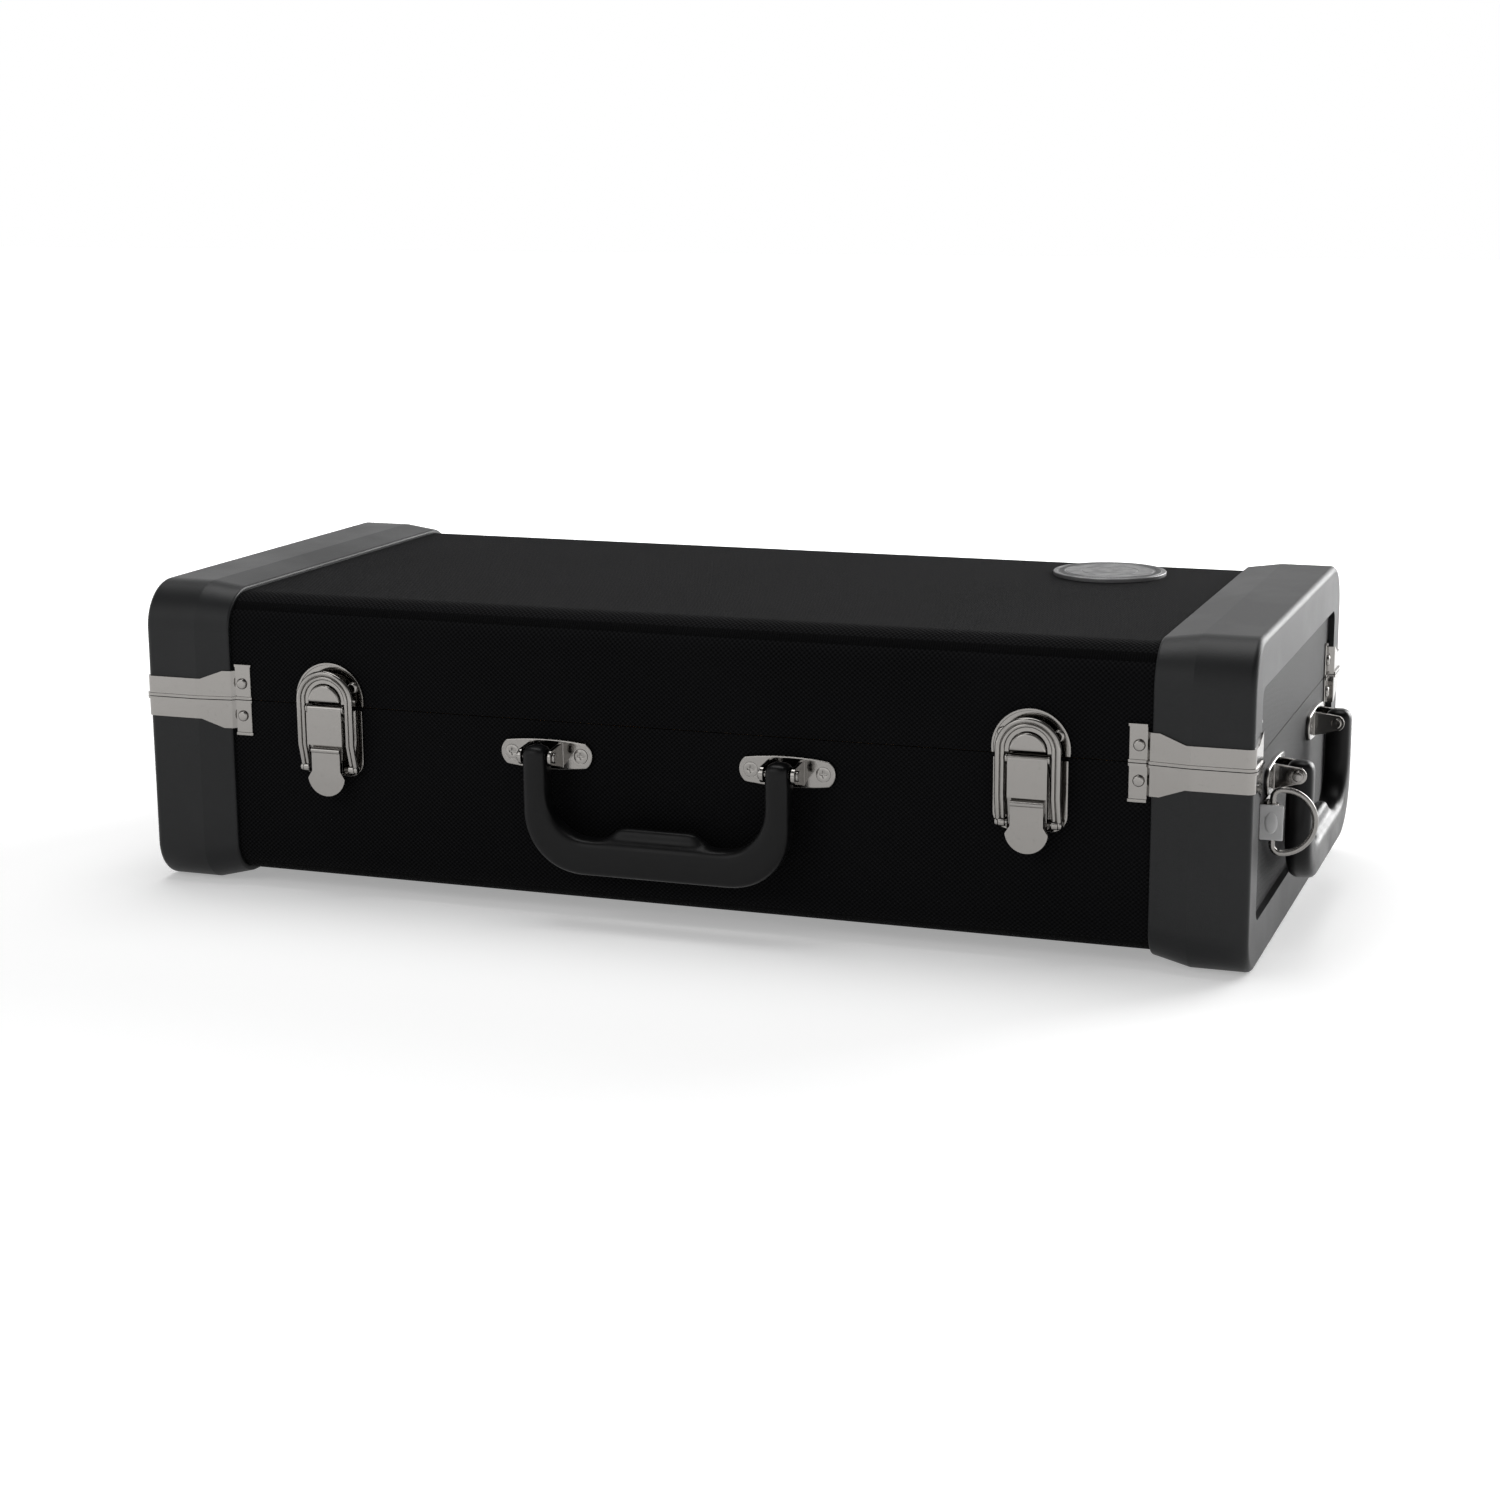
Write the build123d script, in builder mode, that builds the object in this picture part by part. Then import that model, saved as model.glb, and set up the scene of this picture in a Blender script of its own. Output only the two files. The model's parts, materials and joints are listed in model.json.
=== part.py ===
from build123d import *
import os
from math import cos, radians, sin

# A hard trumpet case, closed and lying flat. Millimetres. +X is the case's right end, -Y its
# front with the latches and the handle, +Z up. It rests on z = 0 on the two pairs of end caps.

# ---------------------------------------------------------------- driving dimensions

# Whole case, over the end caps
length = 560.0
depth = 258.0
height = 154.0
split_height = 97.0
rim_gap = 0.4
top_edge_radius = 23.0
bottom_edge_radius = 20.0
middle_y = 4.6  # the case's middle plane, so that the whole with its handle is centred on y = 0

# Walls
covering_thickness = 1.0
wood_thickness = 5.0

# End caps
cap_width = 46.0
cap_slope = 18.0
cap_proud = 4.5
cap_proud_below = 6.5
cap_lip = 2.0
cap_lip_round = 1.2
cap_end_wall = 3.0
cap_end_round = 3.0
window_side = 19.0
window_low = 23.0
window_high = 23.0
window_corner = 6.0

# Rivets and screws
rivet_shank = 1.5
rivet_head = 2.8
rivet_dome = 1.5
rivet_dome_round = 1.3
screw_shank = 1.6
screw_head = 3.6
screw_head_depth = 2.0
screw_slot = 0.8
screw_slot_depth = 0.7
hole_clearance = 0.05

# Corner clips
clip_sheet = 0.8
clip_seat = 0.03
clip_tab = 10.2
clip_ear = 8.0
clip_ear_height = 17.8
clip_tab_height = 14.4
clip_band_height = 10.0
clip_taper_start = 14.0
clip_taper_end = 26.0
clip_rivet_in = 4.3
clip_rivet_height = 8.2
clip_end_step = 0.6

# Draw latches
latch_spacing = 357.0
latch_sheet = 1.2
latch_rim = 1.0
latch_rim_height = 1.6
latch_plate_width = 35.0
latch_plate_drop = 1.5  # drops and rises are measured from the split
latch_plate_tall = 33.5
latch_plate_corner = 8.0
latch_plate_rivet_drops = (9.0, 24.0)
lever_pin_drop = 0.5
lever_pin_out = 6.1
lever_pin_radius = 1.0
lever_roll = 2.0
lever_half_width = 9.3
lever_cheek = 1.2
lever_panel_tall = 19.1  # from here to the hasp's bend, heights are measured down from the lever's pin
lever_web_top = 15.5
lever_web_tall = 11.0
lever_web_sheet = 1.8
lever_slot_depth = 0.6
tongue_start = 20.3
tongue_neck = 7.8
tongue_shoulder = 10.1
tongue_shoulder_start = 35.0
tongue_end = 44.0
tongue_flare = 3.6
tongue_lip = 1.3
side_clearance = 0.1
ear_sheet = 1.0
ear_radius = 2.2
ear_foot = 8.4
hasp_pin_start = 30.5
hasp_pin_out = 3.8
hasp_pin_radius = 1.25
hasp_pin_head = 2.0
hasp_pin_head_length = 1.7
hasp_pin_head_round = 0.8
hasp_eye = 2.3
hasp_eye_width = 3.2
hasp_outer = 15.5
hasp_leg_gap = 0.4
hasp_sheet = 2.4
hasp_out = 5.8
hasp_groove = 1.6
hasp_groove_depth = 0.8
hasp_bend_start = 18.5
nose_rise = 3.3
nose_radius = 8.6
nose_out = 8.8
nose_round = 1.2
nose_clearance = 0.3
catch_radius = 18.5
catch_rise = 0.6
catch_rivet_side = 13.0
catch_rivet_rise = 10.0

# Handles and their brackets
handle_spacing = 123.0
end_handle_middle = 5.0
bracket_drop = 16.0
bracket_length = 48.0
bracket_width = 15.0
bracket_bow = 36.0
bracket_sheet = 2.0
bracket_round = 0.7
bracket_screw = 18.0
bracket_ear_sheet = 1.8
bracket_ear_radius = 4.0
bracket_ear_foot = 6.2
handle_pin_drop = 15.0
handle_pin_out = 13.0
handle_pin_radius = 1.6
handle_pin_head = 2.6
handle_pin_head_length = 1.3
handle_pin_head_round = 0.6
handle_arm = 12.7
handle_side_clearance = 0.55
handle_thickness = 13.0
handle_above_pin = 6.0
handle_tall = 62.0
handle_grip = 18.0
handle_outer_corner = 30.0
handle_inner_corner = 21.0
handle_round = 3.6
palm_length = 54.0
palm_ramp = 8.0
palm_rise = 6.5
palm_thickness = 7.0
palm_set_in = 1.6

# D-rings and their clips
ring_bar_y = -88.0
ring_bar_out = 5.5
ring_drop = 31.5
ring_wire = 1.4
ring_tall = 32.5
ring_reach = 20.7
ring_corner = 4.0
ring_lean = 12.0
ring_clip_tall = 17.0
ring_clip_leaf = 20.0
ring_clip_sheet = 1.2
ring_clip_roll = 2.8
ring_clip_corner = 3.0
ring_rivet_in = 13.0
ring_rivet_spacing = 9.0
ring_clearance = 0.1

# Hinges
hinge_spacing = 320.0
hinge_width = 60.0
hinge_axis_out = 6.5
hinge_knuckle = 3.2
hinge_pin_radius = 1.25
hinge_knuckles = 5
hinge_knuckle_gap = 0.3
hinge_leaf_near = 4.0
hinge_leaf_height = 24.0
hinge_leaf_corner = 4.0
hinge_rivet_side = 20.0
hinge_rivet_in = 17.0
hinge_sheet = 1.2
hinge_wrap = 53.0

# Badge on the lid
badge_from_end = 111.0
badge_from_back = 54.0
badge_radius = 29.0
badge_thickness = 1.2
badge_rim = 3.0
badge_rim_height = 0.8
badge_boss = 19.0
badge_round = 0.5

# Inside
tongue_strip = 3.0
tongue_strip_gap = 0.3
tongue_strip_rise = 6.0
tongue_strip_drop = 17.0
floor_pad = 5.0
floor_pad_margin = 10.0
foam_drop = 5.0
foam_gap = 0.3
lid_pad = 8.0
lid_side_pad = 4.0
lid_pad_gap = 5.5
lid_pad_start = 8.0
lid_pad_round = 11.5
bell_from_back = 84.9
bell_radius = 66.0
bell_throat = 18.0
bell_long = 178.0
bell_curve = 108.0
bell_middle_half = 34.0
bell_rim_room = 12.0
bell_well_long = 21.0
end_block_long = 15.4
valve_half_length = 60.0
front_block_deep = 62.9
back_rail_deep = 40.9
left_block_long = 24.4
box_long = 184.0
box_end_gap = 10.4
box_deep = 70.4
box_wall = 2.5
box_ledge = 4.0
box_ledge_height = 3.0
flap_thickness = 3.0
flap_drop = 26.5
flap_side_gap = 0.7
flap_back_gap = 0.5
flap_drop_gap = 0.2
cloth_thickness = 0.8
cloth_height = 15.0
pull_width = 16.0
pull_height = 8.0
pull_thickness = 1.0
mouthpiece_block_deep = 32.5
mouthpiece_in = 57.0
mouthpiece_spacing = 75.0
mouthpiece_rim = 14.0
mouthpiece_cup_depth = 24.0
mouthpiece_shank = 7.0
mouthpiece_depth = 62.0

# ---------------------------------------------------------------- sizes worked out

half_length = length / 2
half_depth = depth / 2
skin_y = half_depth - cap_proud
skin_low = cap_proud_below
skin_high = height - cap_proud
skin_end = half_length - cap_end_wall
wall = covering_thickness + wood_thickness
room_y = skin_y - wall
room_low = skin_low + wall
room_high = skin_high - wall
room_end = skin_end - wall
base_rim = split_height - rim_gap / 2
lid_rim = split_height + rim_gap / 2
latch_plate_top = split_height - latch_plate_drop
latch_plate_bottom = latch_plate_top - latch_plate_tall
latch_plate_rivet_heights = [split_height - drop for drop in latch_plate_rivet_drops]
lever_pin_height = split_height - lever_pin_drop
lever_panel_bottom = lever_pin_height - lever_panel_tall
lever_web_middle = lever_pin_height - lever_web_top - lever_web_tall / 2
tongue_top = lever_pin_height - tongue_start
tongue_shoulder_height = lever_pin_height - tongue_shoulder_start
tongue_bottom = lever_pin_height - tongue_end
hasp_pin_height = lever_pin_height - hasp_pin_start
hasp_bend = lever_pin_height - hasp_bend_start
nose_centre = split_height + nose_rise
catch_bottom = split_height + catch_rise
catch_rivet_height = split_height + catch_rivet_rise
bracket_height = split_height - bracket_drop
handle_pin_height = split_height - handle_pin_drop
handle_bottom = handle_pin_height + handle_above_pin - handle_tall
ring_height = split_height - ring_drop
foam_top = split_height - foam_drop
flap_axis_height = foam_top - flap_drop
badge_x = half_length - badge_from_end
badge_y = half_depth - badge_from_back


# ---------------------------------------------------------------- planes and outlines

def level(z):
    """Level plane at height z: x to the right, y to the back."""
    return Plane((0, middle_y, z))


def section(x):
    """Upright plane across the case, seen from its right end: x to the back, y up."""
    return Plane((x, middle_y, 0), x_dir=(0, 1, 0), z_dir=(1, 0, 0))


def face(y):
    """Upright plane along the case, seen from its front: x to the right, y up."""
    return Plane((0, middle_y + y, 0), x_dir=(1, 0, 0), z_dir=(0, -1, 0))


def raised(plane, amount):
    """The same plane moved out along its normal."""
    return plane.offset(amount)


def across(plane, place):
    """Plane square to a wall's own x at place: x out of the wall, y up."""
    return Plane(plane.origin + plane.x_dir * place, x_dir=plane.z_dir, z_dir=-plane.x_dir)


front_wall = face(-skin_y)
back_wall = Plane((0, middle_y + skin_y, 0), x_dir=(-1, 0, 0), z_dir=(0, 1, 0))
right_wall = section(skin_end)
left_wall = Plane((-skin_end, middle_y, 0), x_dir=(0, -1, 0), z_dir=(-1, 0, 0))
middle_plane = face(0)


def loaf(half, low, high, low_radius, high_radius):
    """Section of the case seen from its end, with the long edges rounded."""
    with BuildSketch(mode=Mode.PRIVATE) as outline:
        with Locations((0, (low + high) / 2)):
            Rectangle(2 * half, high - low)
        fillet(outline.vertices().group_by(Axis.Y)[0], low_radius)
        fillet(outline.vertices().group_by(Axis.Y)[-1], high_radius)
    return outline.sketch


def layer(inset):
    """The covering's outer section, drawn in by inset."""
    return loaf(
        skin_y - inset,
        skin_low + inset,
        skin_high - inset,
        bottom_edge_radius - cap_proud - inset,
        top_edge_radius - cap_proud - inset,
    )


def mirrored(piece, *planes):
    """The piece with a copy of everything so far across each plane in turn."""
    with BuildPart() as copies:
        add(piece)
        for plane in planes:
            mirror(about=plane)
    return copies.part


def other_side(piece):
    """The same piece for the other end or side of the case."""
    with BuildPart() as copy:
        mirror(piece, about=Plane.YZ)
    return copy.part


def together(*solids):
    """Separate solids that share one node."""
    with BuildPart() as group:
        for solid in solids:
            add(solid)
    return group.part


# ---------------------------------------------------------------- where the fasteners go

clip_edge = half_length - cap_width - clip_tab
clip_end_edge = half_depth - window_side - clip_tab
front_clip_places = [(side * (clip_edge + clip_rivet_in), split_height + up * clip_rivet_height)
                     for side in (-1, 1) for up in (-1, 1)]
end_clip_places = [(side * (clip_end_edge + clip_rivet_in), split_height + up * clip_rivet_height)
                   for side in (-1, 1) for up in (-1, 1)]
latch_places = (-latch_spacing / 2, latch_spacing / 2)
latch_rivet_places = [(x, z) for x in latch_places for z in latch_plate_rivet_heights]
catch_rivet_places = [(x + side * catch_rivet_side, catch_rivet_height)
                      for x in latch_places for side in (-1, 1)]
bracket_places = (-handle_spacing / 2, handle_spacing / 2)
front_screw_places = [(x + side * bracket_screw, bracket_height)
                      for x in bracket_places for side in (-1, 1)]
end_screw_places = [(end_handle_middle + x, z) for x, z in front_screw_places]
ring_rivet_places = [(ring_bar_y + ring_rivet_in, ring_height + up * ring_rivet_spacing / 2)
                     for up in (-1, 1)]
left_ring_rivet_places = [(-y, z) for y, z in ring_rivet_places]
hinge_places = (-hinge_spacing / 2, hinge_spacing / 2)
hinge_rivet_places = [(x + side * hinge_rivet_side, split_height + up * hinge_rivet_in)
                      for x in hinge_places for side in (-1, 1) for up in (-1, 1)]


def above(places):
    """Those places that are on the lid."""
    return [place for place in places if place[1] > split_height]


def below(places):
    """Those places that are on the base."""
    return [place for place in places if place[1] < split_height]


def rivets(plane, places, sheet):
    """Domed rivets whose heads sit on a sheet on the wall, with shanks through sheet and wall."""
    with BuildPart() as group:
        with BuildSketch(raised(plane, sheet)):
            with Locations(*places):
                Circle(rivet_head)
        extrude(amount=rivet_dome)
        tops = group.faces().group_by(Axis(plane.origin, plane.z_dir))[-1]
        fillet(tops.edges(), rivet_dome_round)
        with BuildSketch(raised(plane, sheet)):
            with Locations(*places):
                Circle(rivet_shank)
        extrude(amount=-sheet - wall)
    return group.part


def screws(plane, places, sheet):
    """Countersunk cross-head screws, flush with a sheet on the wall."""
    with BuildPart() as group:
        with BuildSketch(raised(plane, sheet)):
            with Locations(*places):
                Circle(screw_head)
        extrude(amount=-screw_head_depth, taper=45)
        with BuildSketch(raised(plane, sheet)):
            with Locations(*places):
                Circle(screw_shank)
        extrude(amount=-sheet - wall)
        with BuildSketch(raised(plane, sheet)):
            with Locations(*places):
                Rectangle(screw_head, screw_slot)
                Rectangle(screw_slot, screw_head)
        extrude(amount=-screw_slot_depth, mode=Mode.SUBTRACT)
    return group.part


def holes(plane, places, radius):
    """Clearance holes for shanks, right through a wall and what is fixed on it."""
    with BuildPart() as group:
        with BuildSketch(plane):
            with Locations(*places):
                Circle(radius + hole_clearance)
        extrude(amount=2 * wall, both=True)
    return group.part


wall_holes = [
    holes(front_wall, front_clip_places + latch_rivet_places + catch_rivet_places, rivet_shank),
    holes(front_wall, front_screw_places, screw_shank),
    holes(back_wall, front_clip_places + hinge_rivet_places, rivet_shank),
    holes(right_wall, end_clip_places + ring_rivet_places, rivet_shank),
    holes(right_wall, end_screw_places, screw_shank),
    holes(left_wall, end_clip_places + left_ring_rivet_places, rivet_shank),
]


# ---------------------------------------------------------------- shells, coverings, end caps

def half_box(outer_inset, inner_inset, keep):
    """One half of a closed box between two layers, with the fastener holes."""
    rim = lid_rim if keep == Keep.TOP else base_rim
    with BuildPart() as piece:
        with BuildSketch(section(outer_inset - skin_end)):
            add(layer(outer_inset))
        extrude(amount=2 * (skin_end - outer_inset))
        with BuildSketch(section(inner_inset - skin_end)):
            add(layer(inner_inset))
        extrude(amount=2 * (skin_end - inner_inset), mode=Mode.SUBTRACT)
        split(bisect_by=level(rim), keep=keep)
        for group in wall_holes:
            add(group, mode=Mode.SUBTRACT)
    return piece.part


def end_cap(keep):
    """Moulded cap round the right end: lip, slope, flat band and the border of the end window."""
    rim = lid_rim if keep == Keep.TOP else base_rim
    lip_x = half_length - cap_width
    band_x = lip_x + cap_slope
    band = loaf(half_depth, 0, height, bottom_edge_radius, top_edge_radius)
    with BuildPart() as piece:
        with BuildSketch(section(band_x)):
            add(band)
        extrude(amount=half_length - band_x)
        fillet(piece.faces().sort_by(Axis.X)[-1].edges(), cap_end_round)
        with BuildSketch(section(lip_x)):
            add(layer(-cap_lip))
        with BuildSketch(section(band_x)):
            add(band)
        loft()
        fillet(piece.faces().sort_by(Axis.X)[0].edges(), cap_lip_round)
        with BuildSketch(section(lip_x - cap_lip)):
            add(layer(0))
        extrude(amount=skin_end - lip_x + cap_lip, mode=Mode.SUBTRACT)
        with BuildSketch(section(skin_end)):
            with Locations((0, (window_low + height - window_high) / 2)):
                RectangleRounded(depth - 2 * window_side, height - window_low - window_high, window_corner)
        extrude(amount=2 * cap_end_wall, mode=Mode.SUBTRACT)
        split(bisect_by=level(rim), keep=keep)
    return piece.part


base_shell = half_box(covering_thickness, wall, Keep.BOTTOM)
lid_shell = half_box(covering_thickness, wall, Keep.TOP)
base_covering = half_box(0, covering_thickness, Keep.BOTTOM)
lid_covering = half_box(0, covering_thickness, Keep.TOP)
base_cap_right = end_cap(Keep.BOTTOM)
lid_cap_right = end_cap(Keep.TOP)
base_cap_left = other_side(base_cap_right)
lid_cap_left = other_side(lid_cap_right)


# ---------------------------------------------------------------- corner clips

def corner_clip():
    """Lid half of the front right corner clip: one bent strip over the cap, with a tab on each wall."""
    lift = clip_seat + clip_sheet / 2
    lip_x = half_length - cap_width
    window_y = half_depth - window_side
    corner = cap_end_round + lift
    with BuildPart() as piece:
        with BuildSketch(level(lid_rim)):
            with BuildLine():
                Polyline(
                    (clip_edge, -skin_y - lift),
                    (lip_x - cap_lip, -skin_y - lift),
                    (lip_x - lift, -skin_y - cap_lip - lift),
                    (lip_x + cap_slope, -half_depth - lift),
                    (half_length - cap_end_round, -half_depth - lift),
                )
                RadiusArc(
                    (half_length - cap_end_round, -half_depth - lift),
                    (half_length + lift, -half_depth + cap_end_round),
                    -corner,
                )
                Polyline(
                    (half_length + lift, -half_depth + cap_end_round),
                    (half_length + lift, -window_y + lift),
                    (skin_end + lift, -window_y + lift + clip_end_step),
                    (skin_end + lift, -clip_end_edge),
                )
                offset(amount=clip_sheet / 2)
            make_face()
        extrude(amount=clip_ear_height)
        with BuildSketch(face(-skin_y + clip_sheet)):
            with BuildLine():
                Polyline(
                    (clip_edge + clip_ear, lid_rim + 2 * clip_ear_height),
                    (clip_edge + clip_ear, lid_rim + clip_tab_height),
                    (clip_edge + clip_taper_start, lid_rim + clip_tab_height),
                    (clip_edge + clip_taper_end, lid_rim + clip_band_height),
                    (length, lid_rim + clip_band_height),
                    (length, lid_rim + 2 * clip_ear_height),
                    close=True,
                )
            make_face()
        extrude(amount=cap_width, mode=Mode.SUBTRACT)
        with BuildSketch(section(skin_end - clip_sheet)):
            with BuildLine():
                Polyline(
                    (-clip_end_edge - clip_ear, lid_rim + 2 * clip_ear_height),
                    (-clip_end_edge - clip_ear, lid_rim + clip_tab_height),
                    (-window_y, lid_rim + clip_tab_height),
                    (-window_y - window_side / 2, lid_rim + clip_band_height),
                    (-depth, lid_rim + clip_band_height),
                    (-depth, lid_rim + 2 * clip_ear_height),
                    close=True,
                )
            make_face()
        extrude(amount=cap_width, mode=Mode.SUBTRACT)
        for plane, place in ((front_wall, front_clip_places[-1]), (right_wall, end_clip_places[1])):
            add(holes(plane, [place], rivet_shank), mode=Mode.SUBTRACT)
    return piece.part


one_lid_clip = corner_clip()
with BuildPart() as one_base_clip:
    mirror(one_lid_clip, about=level(split_height))
lid_corner_clips = mirrored(one_lid_clip, middle_plane, Plane.YZ)
base_corner_clips = mirrored(one_base_clip.part, middle_plane, Plane.YZ)
clip_lift = clip_seat + clip_sheet


def clip_rivets(choose):
    """The rivets of the four corner clips on one half of the case."""
    return together(
        rivets(front_wall, choose(front_clip_places), clip_lift),
        rivets(back_wall, choose(front_clip_places), clip_lift),
        rivets(right_wall, choose(end_clip_places), clip_lift),
        rivets(left_wall, choose(end_clip_places), clip_lift),
    )


lid_clip_rivets = clip_rivets(above)
base_clip_rivets = clip_rivets(below)


# ---------------------------------------------------------------- draw latches

lever_pin_y = -skin_y - lever_pin_out
hasp_pin_y = -skin_y - hasp_pin_out
lever_front_y = lever_pin_y - lever_roll
ear_inner = lever_half_width + side_clearance
ear_outer = ear_inner + ear_sheet
hasp_inner = ear_outer + hasp_leg_gap
plate_y = -skin_y - latch_sheet


def latch_plate_outline(x, inset):
    """The base plate's outline, drawn in by inset at its sides and its rounded bottom."""
    low = latch_plate_bottom + inset
    with BuildSketch(mode=Mode.PRIVATE) as outline:
        with Locations((x, (low + latch_plate_top) / 2)):
            Rectangle(latch_plate_width - 2 * inset, latch_plate_top - low)
        fillet(outline.vertices().group_by(Axis.Y)[0], latch_plate_corner - inset)
    return outline.sketch


def latch_base_plate(x):
    """Plate on the base with a raised rim and the two ears that carry the lever's pin."""
    with BuildPart() as piece:
        with BuildSketch(front_wall):
            add(latch_plate_outline(x, 0))
        extrude(amount=latch_rim_height)
        with BuildSketch(raised(front_wall, latch_sheet)):
            add(latch_plate_outline(x, latch_rim))
        extrude(amount=latch_rim_height, mode=Mode.SUBTRACT)
        for start in (x - ear_outer, x + ear_inner):
            with BuildSketch(section(start)):
                with BuildLine():
                    Polyline(
                        (plate_y, latch_plate_top - ear_foot),
                        (plate_y, latch_plate_top),
                        (lever_pin_y, lever_pin_height + ear_radius),
                        (lever_pin_y - ear_radius, lever_pin_height),
                        close=True,
                    )
                make_face()
                with Locations((lever_pin_y, lever_pin_height)):
                    Circle(ear_radius)
                    Circle(lever_pin_radius + hole_clearance, mode=Mode.SUBTRACT)
            extrude(amount=ear_sheet)
        add(holes(front_wall, [(x, z) for z in latch_plate_rivet_heights], rivet_shank), mode=Mode.SUBTRACT)
    return piece.part


def latch_lever_pin(x):
    """Pin through the base plate's ears and the lever's rolled edge."""
    with BuildPart() as piece:
        with BuildSketch(section(x - ear_outer)):
            with Locations((lever_pin_y, lever_pin_height)):
                Circle(lever_pin_radius)
        extrude(amount=2 * ear_outer)
    return piece.part


def latch_lever(x):
    """Bent lever: rolled edge on its pin, panel, two cheeks and the finger tongue."""
    with BuildPart() as piece:
        with BuildSketch(section(x - lever_half_width)):
            with Locations((lever_pin_y, lever_pin_height)):
                Circle(lever_roll)
        extrude(amount=2 * lever_half_width)
        with BuildSketch(face(lever_front_y + latch_sheet)):
            with Locations((x, (lever_pin_height + lever_panel_bottom) / 2)):
                Rectangle(2 * lever_half_width, lever_pin_height - lever_panel_bottom)
        extrude(amount=latch_sheet)
        for start in (x - lever_half_width, x + lever_half_width - lever_cheek):
            with BuildSketch(section(start)):
                with BuildLine():
                    Polyline(
                        (lever_front_y + latch_sheet / 2, lever_pin_height - lever_pin_radius),
                        (lever_pin_y, lever_pin_height - lever_pin_radius),
                        (hasp_pin_y + lever_cheek, (lever_pin_height + lever_panel_bottom) / 2),
                        (hasp_pin_y + hasp_eye - side_clearance, hasp_pin_height),
                        (hasp_pin_y, hasp_pin_height - hasp_eye + side_clearance),
                        (lever_front_y + latch_sheet / 2, hasp_pin_height - hasp_eye + side_clearance),
                        close=True,
                    )
                make_face()
                with Locations((hasp_pin_y, hasp_pin_height)):
                    Circle(hasp_eye - side_clearance)
            extrude(amount=lever_cheek)
        with BuildSketch(face(lever_front_y + lever_slot_depth + lever_web_sheet)):
            with Locations((x, lever_web_middle)):
                Rectangle(2 * lever_half_width - lever_cheek, lever_web_tall)
        extrude(amount=lever_web_sheet)
        with BuildSketch(face(lever_front_y + latch_sheet)):
            with BuildLine():
                Polyline(
                    (x - tongue_shoulder, tongue_shoulder_height),
                    (x - tongue_neck, tongue_shoulder_height + tongue_flare),
                    (x - tongue_neck, tongue_top),
                    (x + tongue_neck, tongue_top),
                    (x + tongue_neck, tongue_shoulder_height + tongue_flare),
                    (x + tongue_shoulder, tongue_shoulder_height),
                )
                ThreePointArc(
                    (x + tongue_shoulder, tongue_shoulder_height),
                    (x, tongue_bottom),
                    (x - tongue_shoulder, tongue_shoulder_height),
                )
            make_face()
        extrude(amount=latch_sheet)
        with BuildSketch(section(x - tongue_neck)):
            with Locations((lever_front_y + latch_sheet / 2, tongue_top - tongue_lip / 2)):
                Circle(tongue_lip)
        extrude(amount=2 * tongue_neck)
        with BuildSketch(section(x - latch_plate_width)):
            with Locations((lever_pin_y, lever_pin_height)):
                Circle(lever_pin_radius + hole_clearance)
            with Locations((hasp_pin_y, hasp_pin_height)):
                Circle(hasp_pin_radius + hole_clearance)
        extrude(amount=2 * latch_plate_width, mode=Mode.SUBTRACT)
    return piece.part


def latch_hasp_pin(x):
    """Pin through the lever's cheeks and the hasp's eyes, with a knob on each end."""
    eye_outer = hasp_inner + hasp_eye_width
    with BuildPart() as piece:
        with BuildSketch(section(x - eye_outer - side_clearance)):
            with Locations((hasp_pin_y, hasp_pin_height)):
                Circle(hasp_pin_radius)
        extrude(amount=2 * (eye_outer + side_clearance))
        with BuildSketch(section(x + eye_outer + side_clearance)):
            with Locations((hasp_pin_y, hasp_pin_height)):
                Circle(hasp_pin_head)
        extrude(amount=hasp_pin_head_length)
        with BuildSketch(section(x - eye_outer - side_clearance)):
            with Locations((hasp_pin_y, hasp_pin_height)):
                Circle(hasp_pin_head)
        extrude(amount=-hasp_pin_head_length)
        ends = [piece.faces().sort_by(Axis.X)[0], piece.faces().sort_by(Axis.X)[-1]]
        fillet([edge for end in ends for edge in end.edges()], hasp_pin_head_round)
    return piece.part


def hasp_outline(x, outer, inner, low):
    """An arch on two legs, as a band between two widths."""
    with BuildSketch(mode=Mode.PRIVATE) as outline:
        with Locations((x, nose_centre)):
            Circle(outer)
        with Locations((x, (nose_centre + low) / 2)):
            Rectangle(2 * outer, nose_centre - low)
        with Locations((x, nose_centre)):
            Circle(inner, mode=Mode.SUBTRACT)
        leg_inner = max(inner, hasp_inner)
        with Locations((x, (nose_centre + low) / 2)):
            Rectangle(2 * leg_inner, nose_centre - low, mode=Mode.SUBTRACT)
    return outline.sketch


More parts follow.
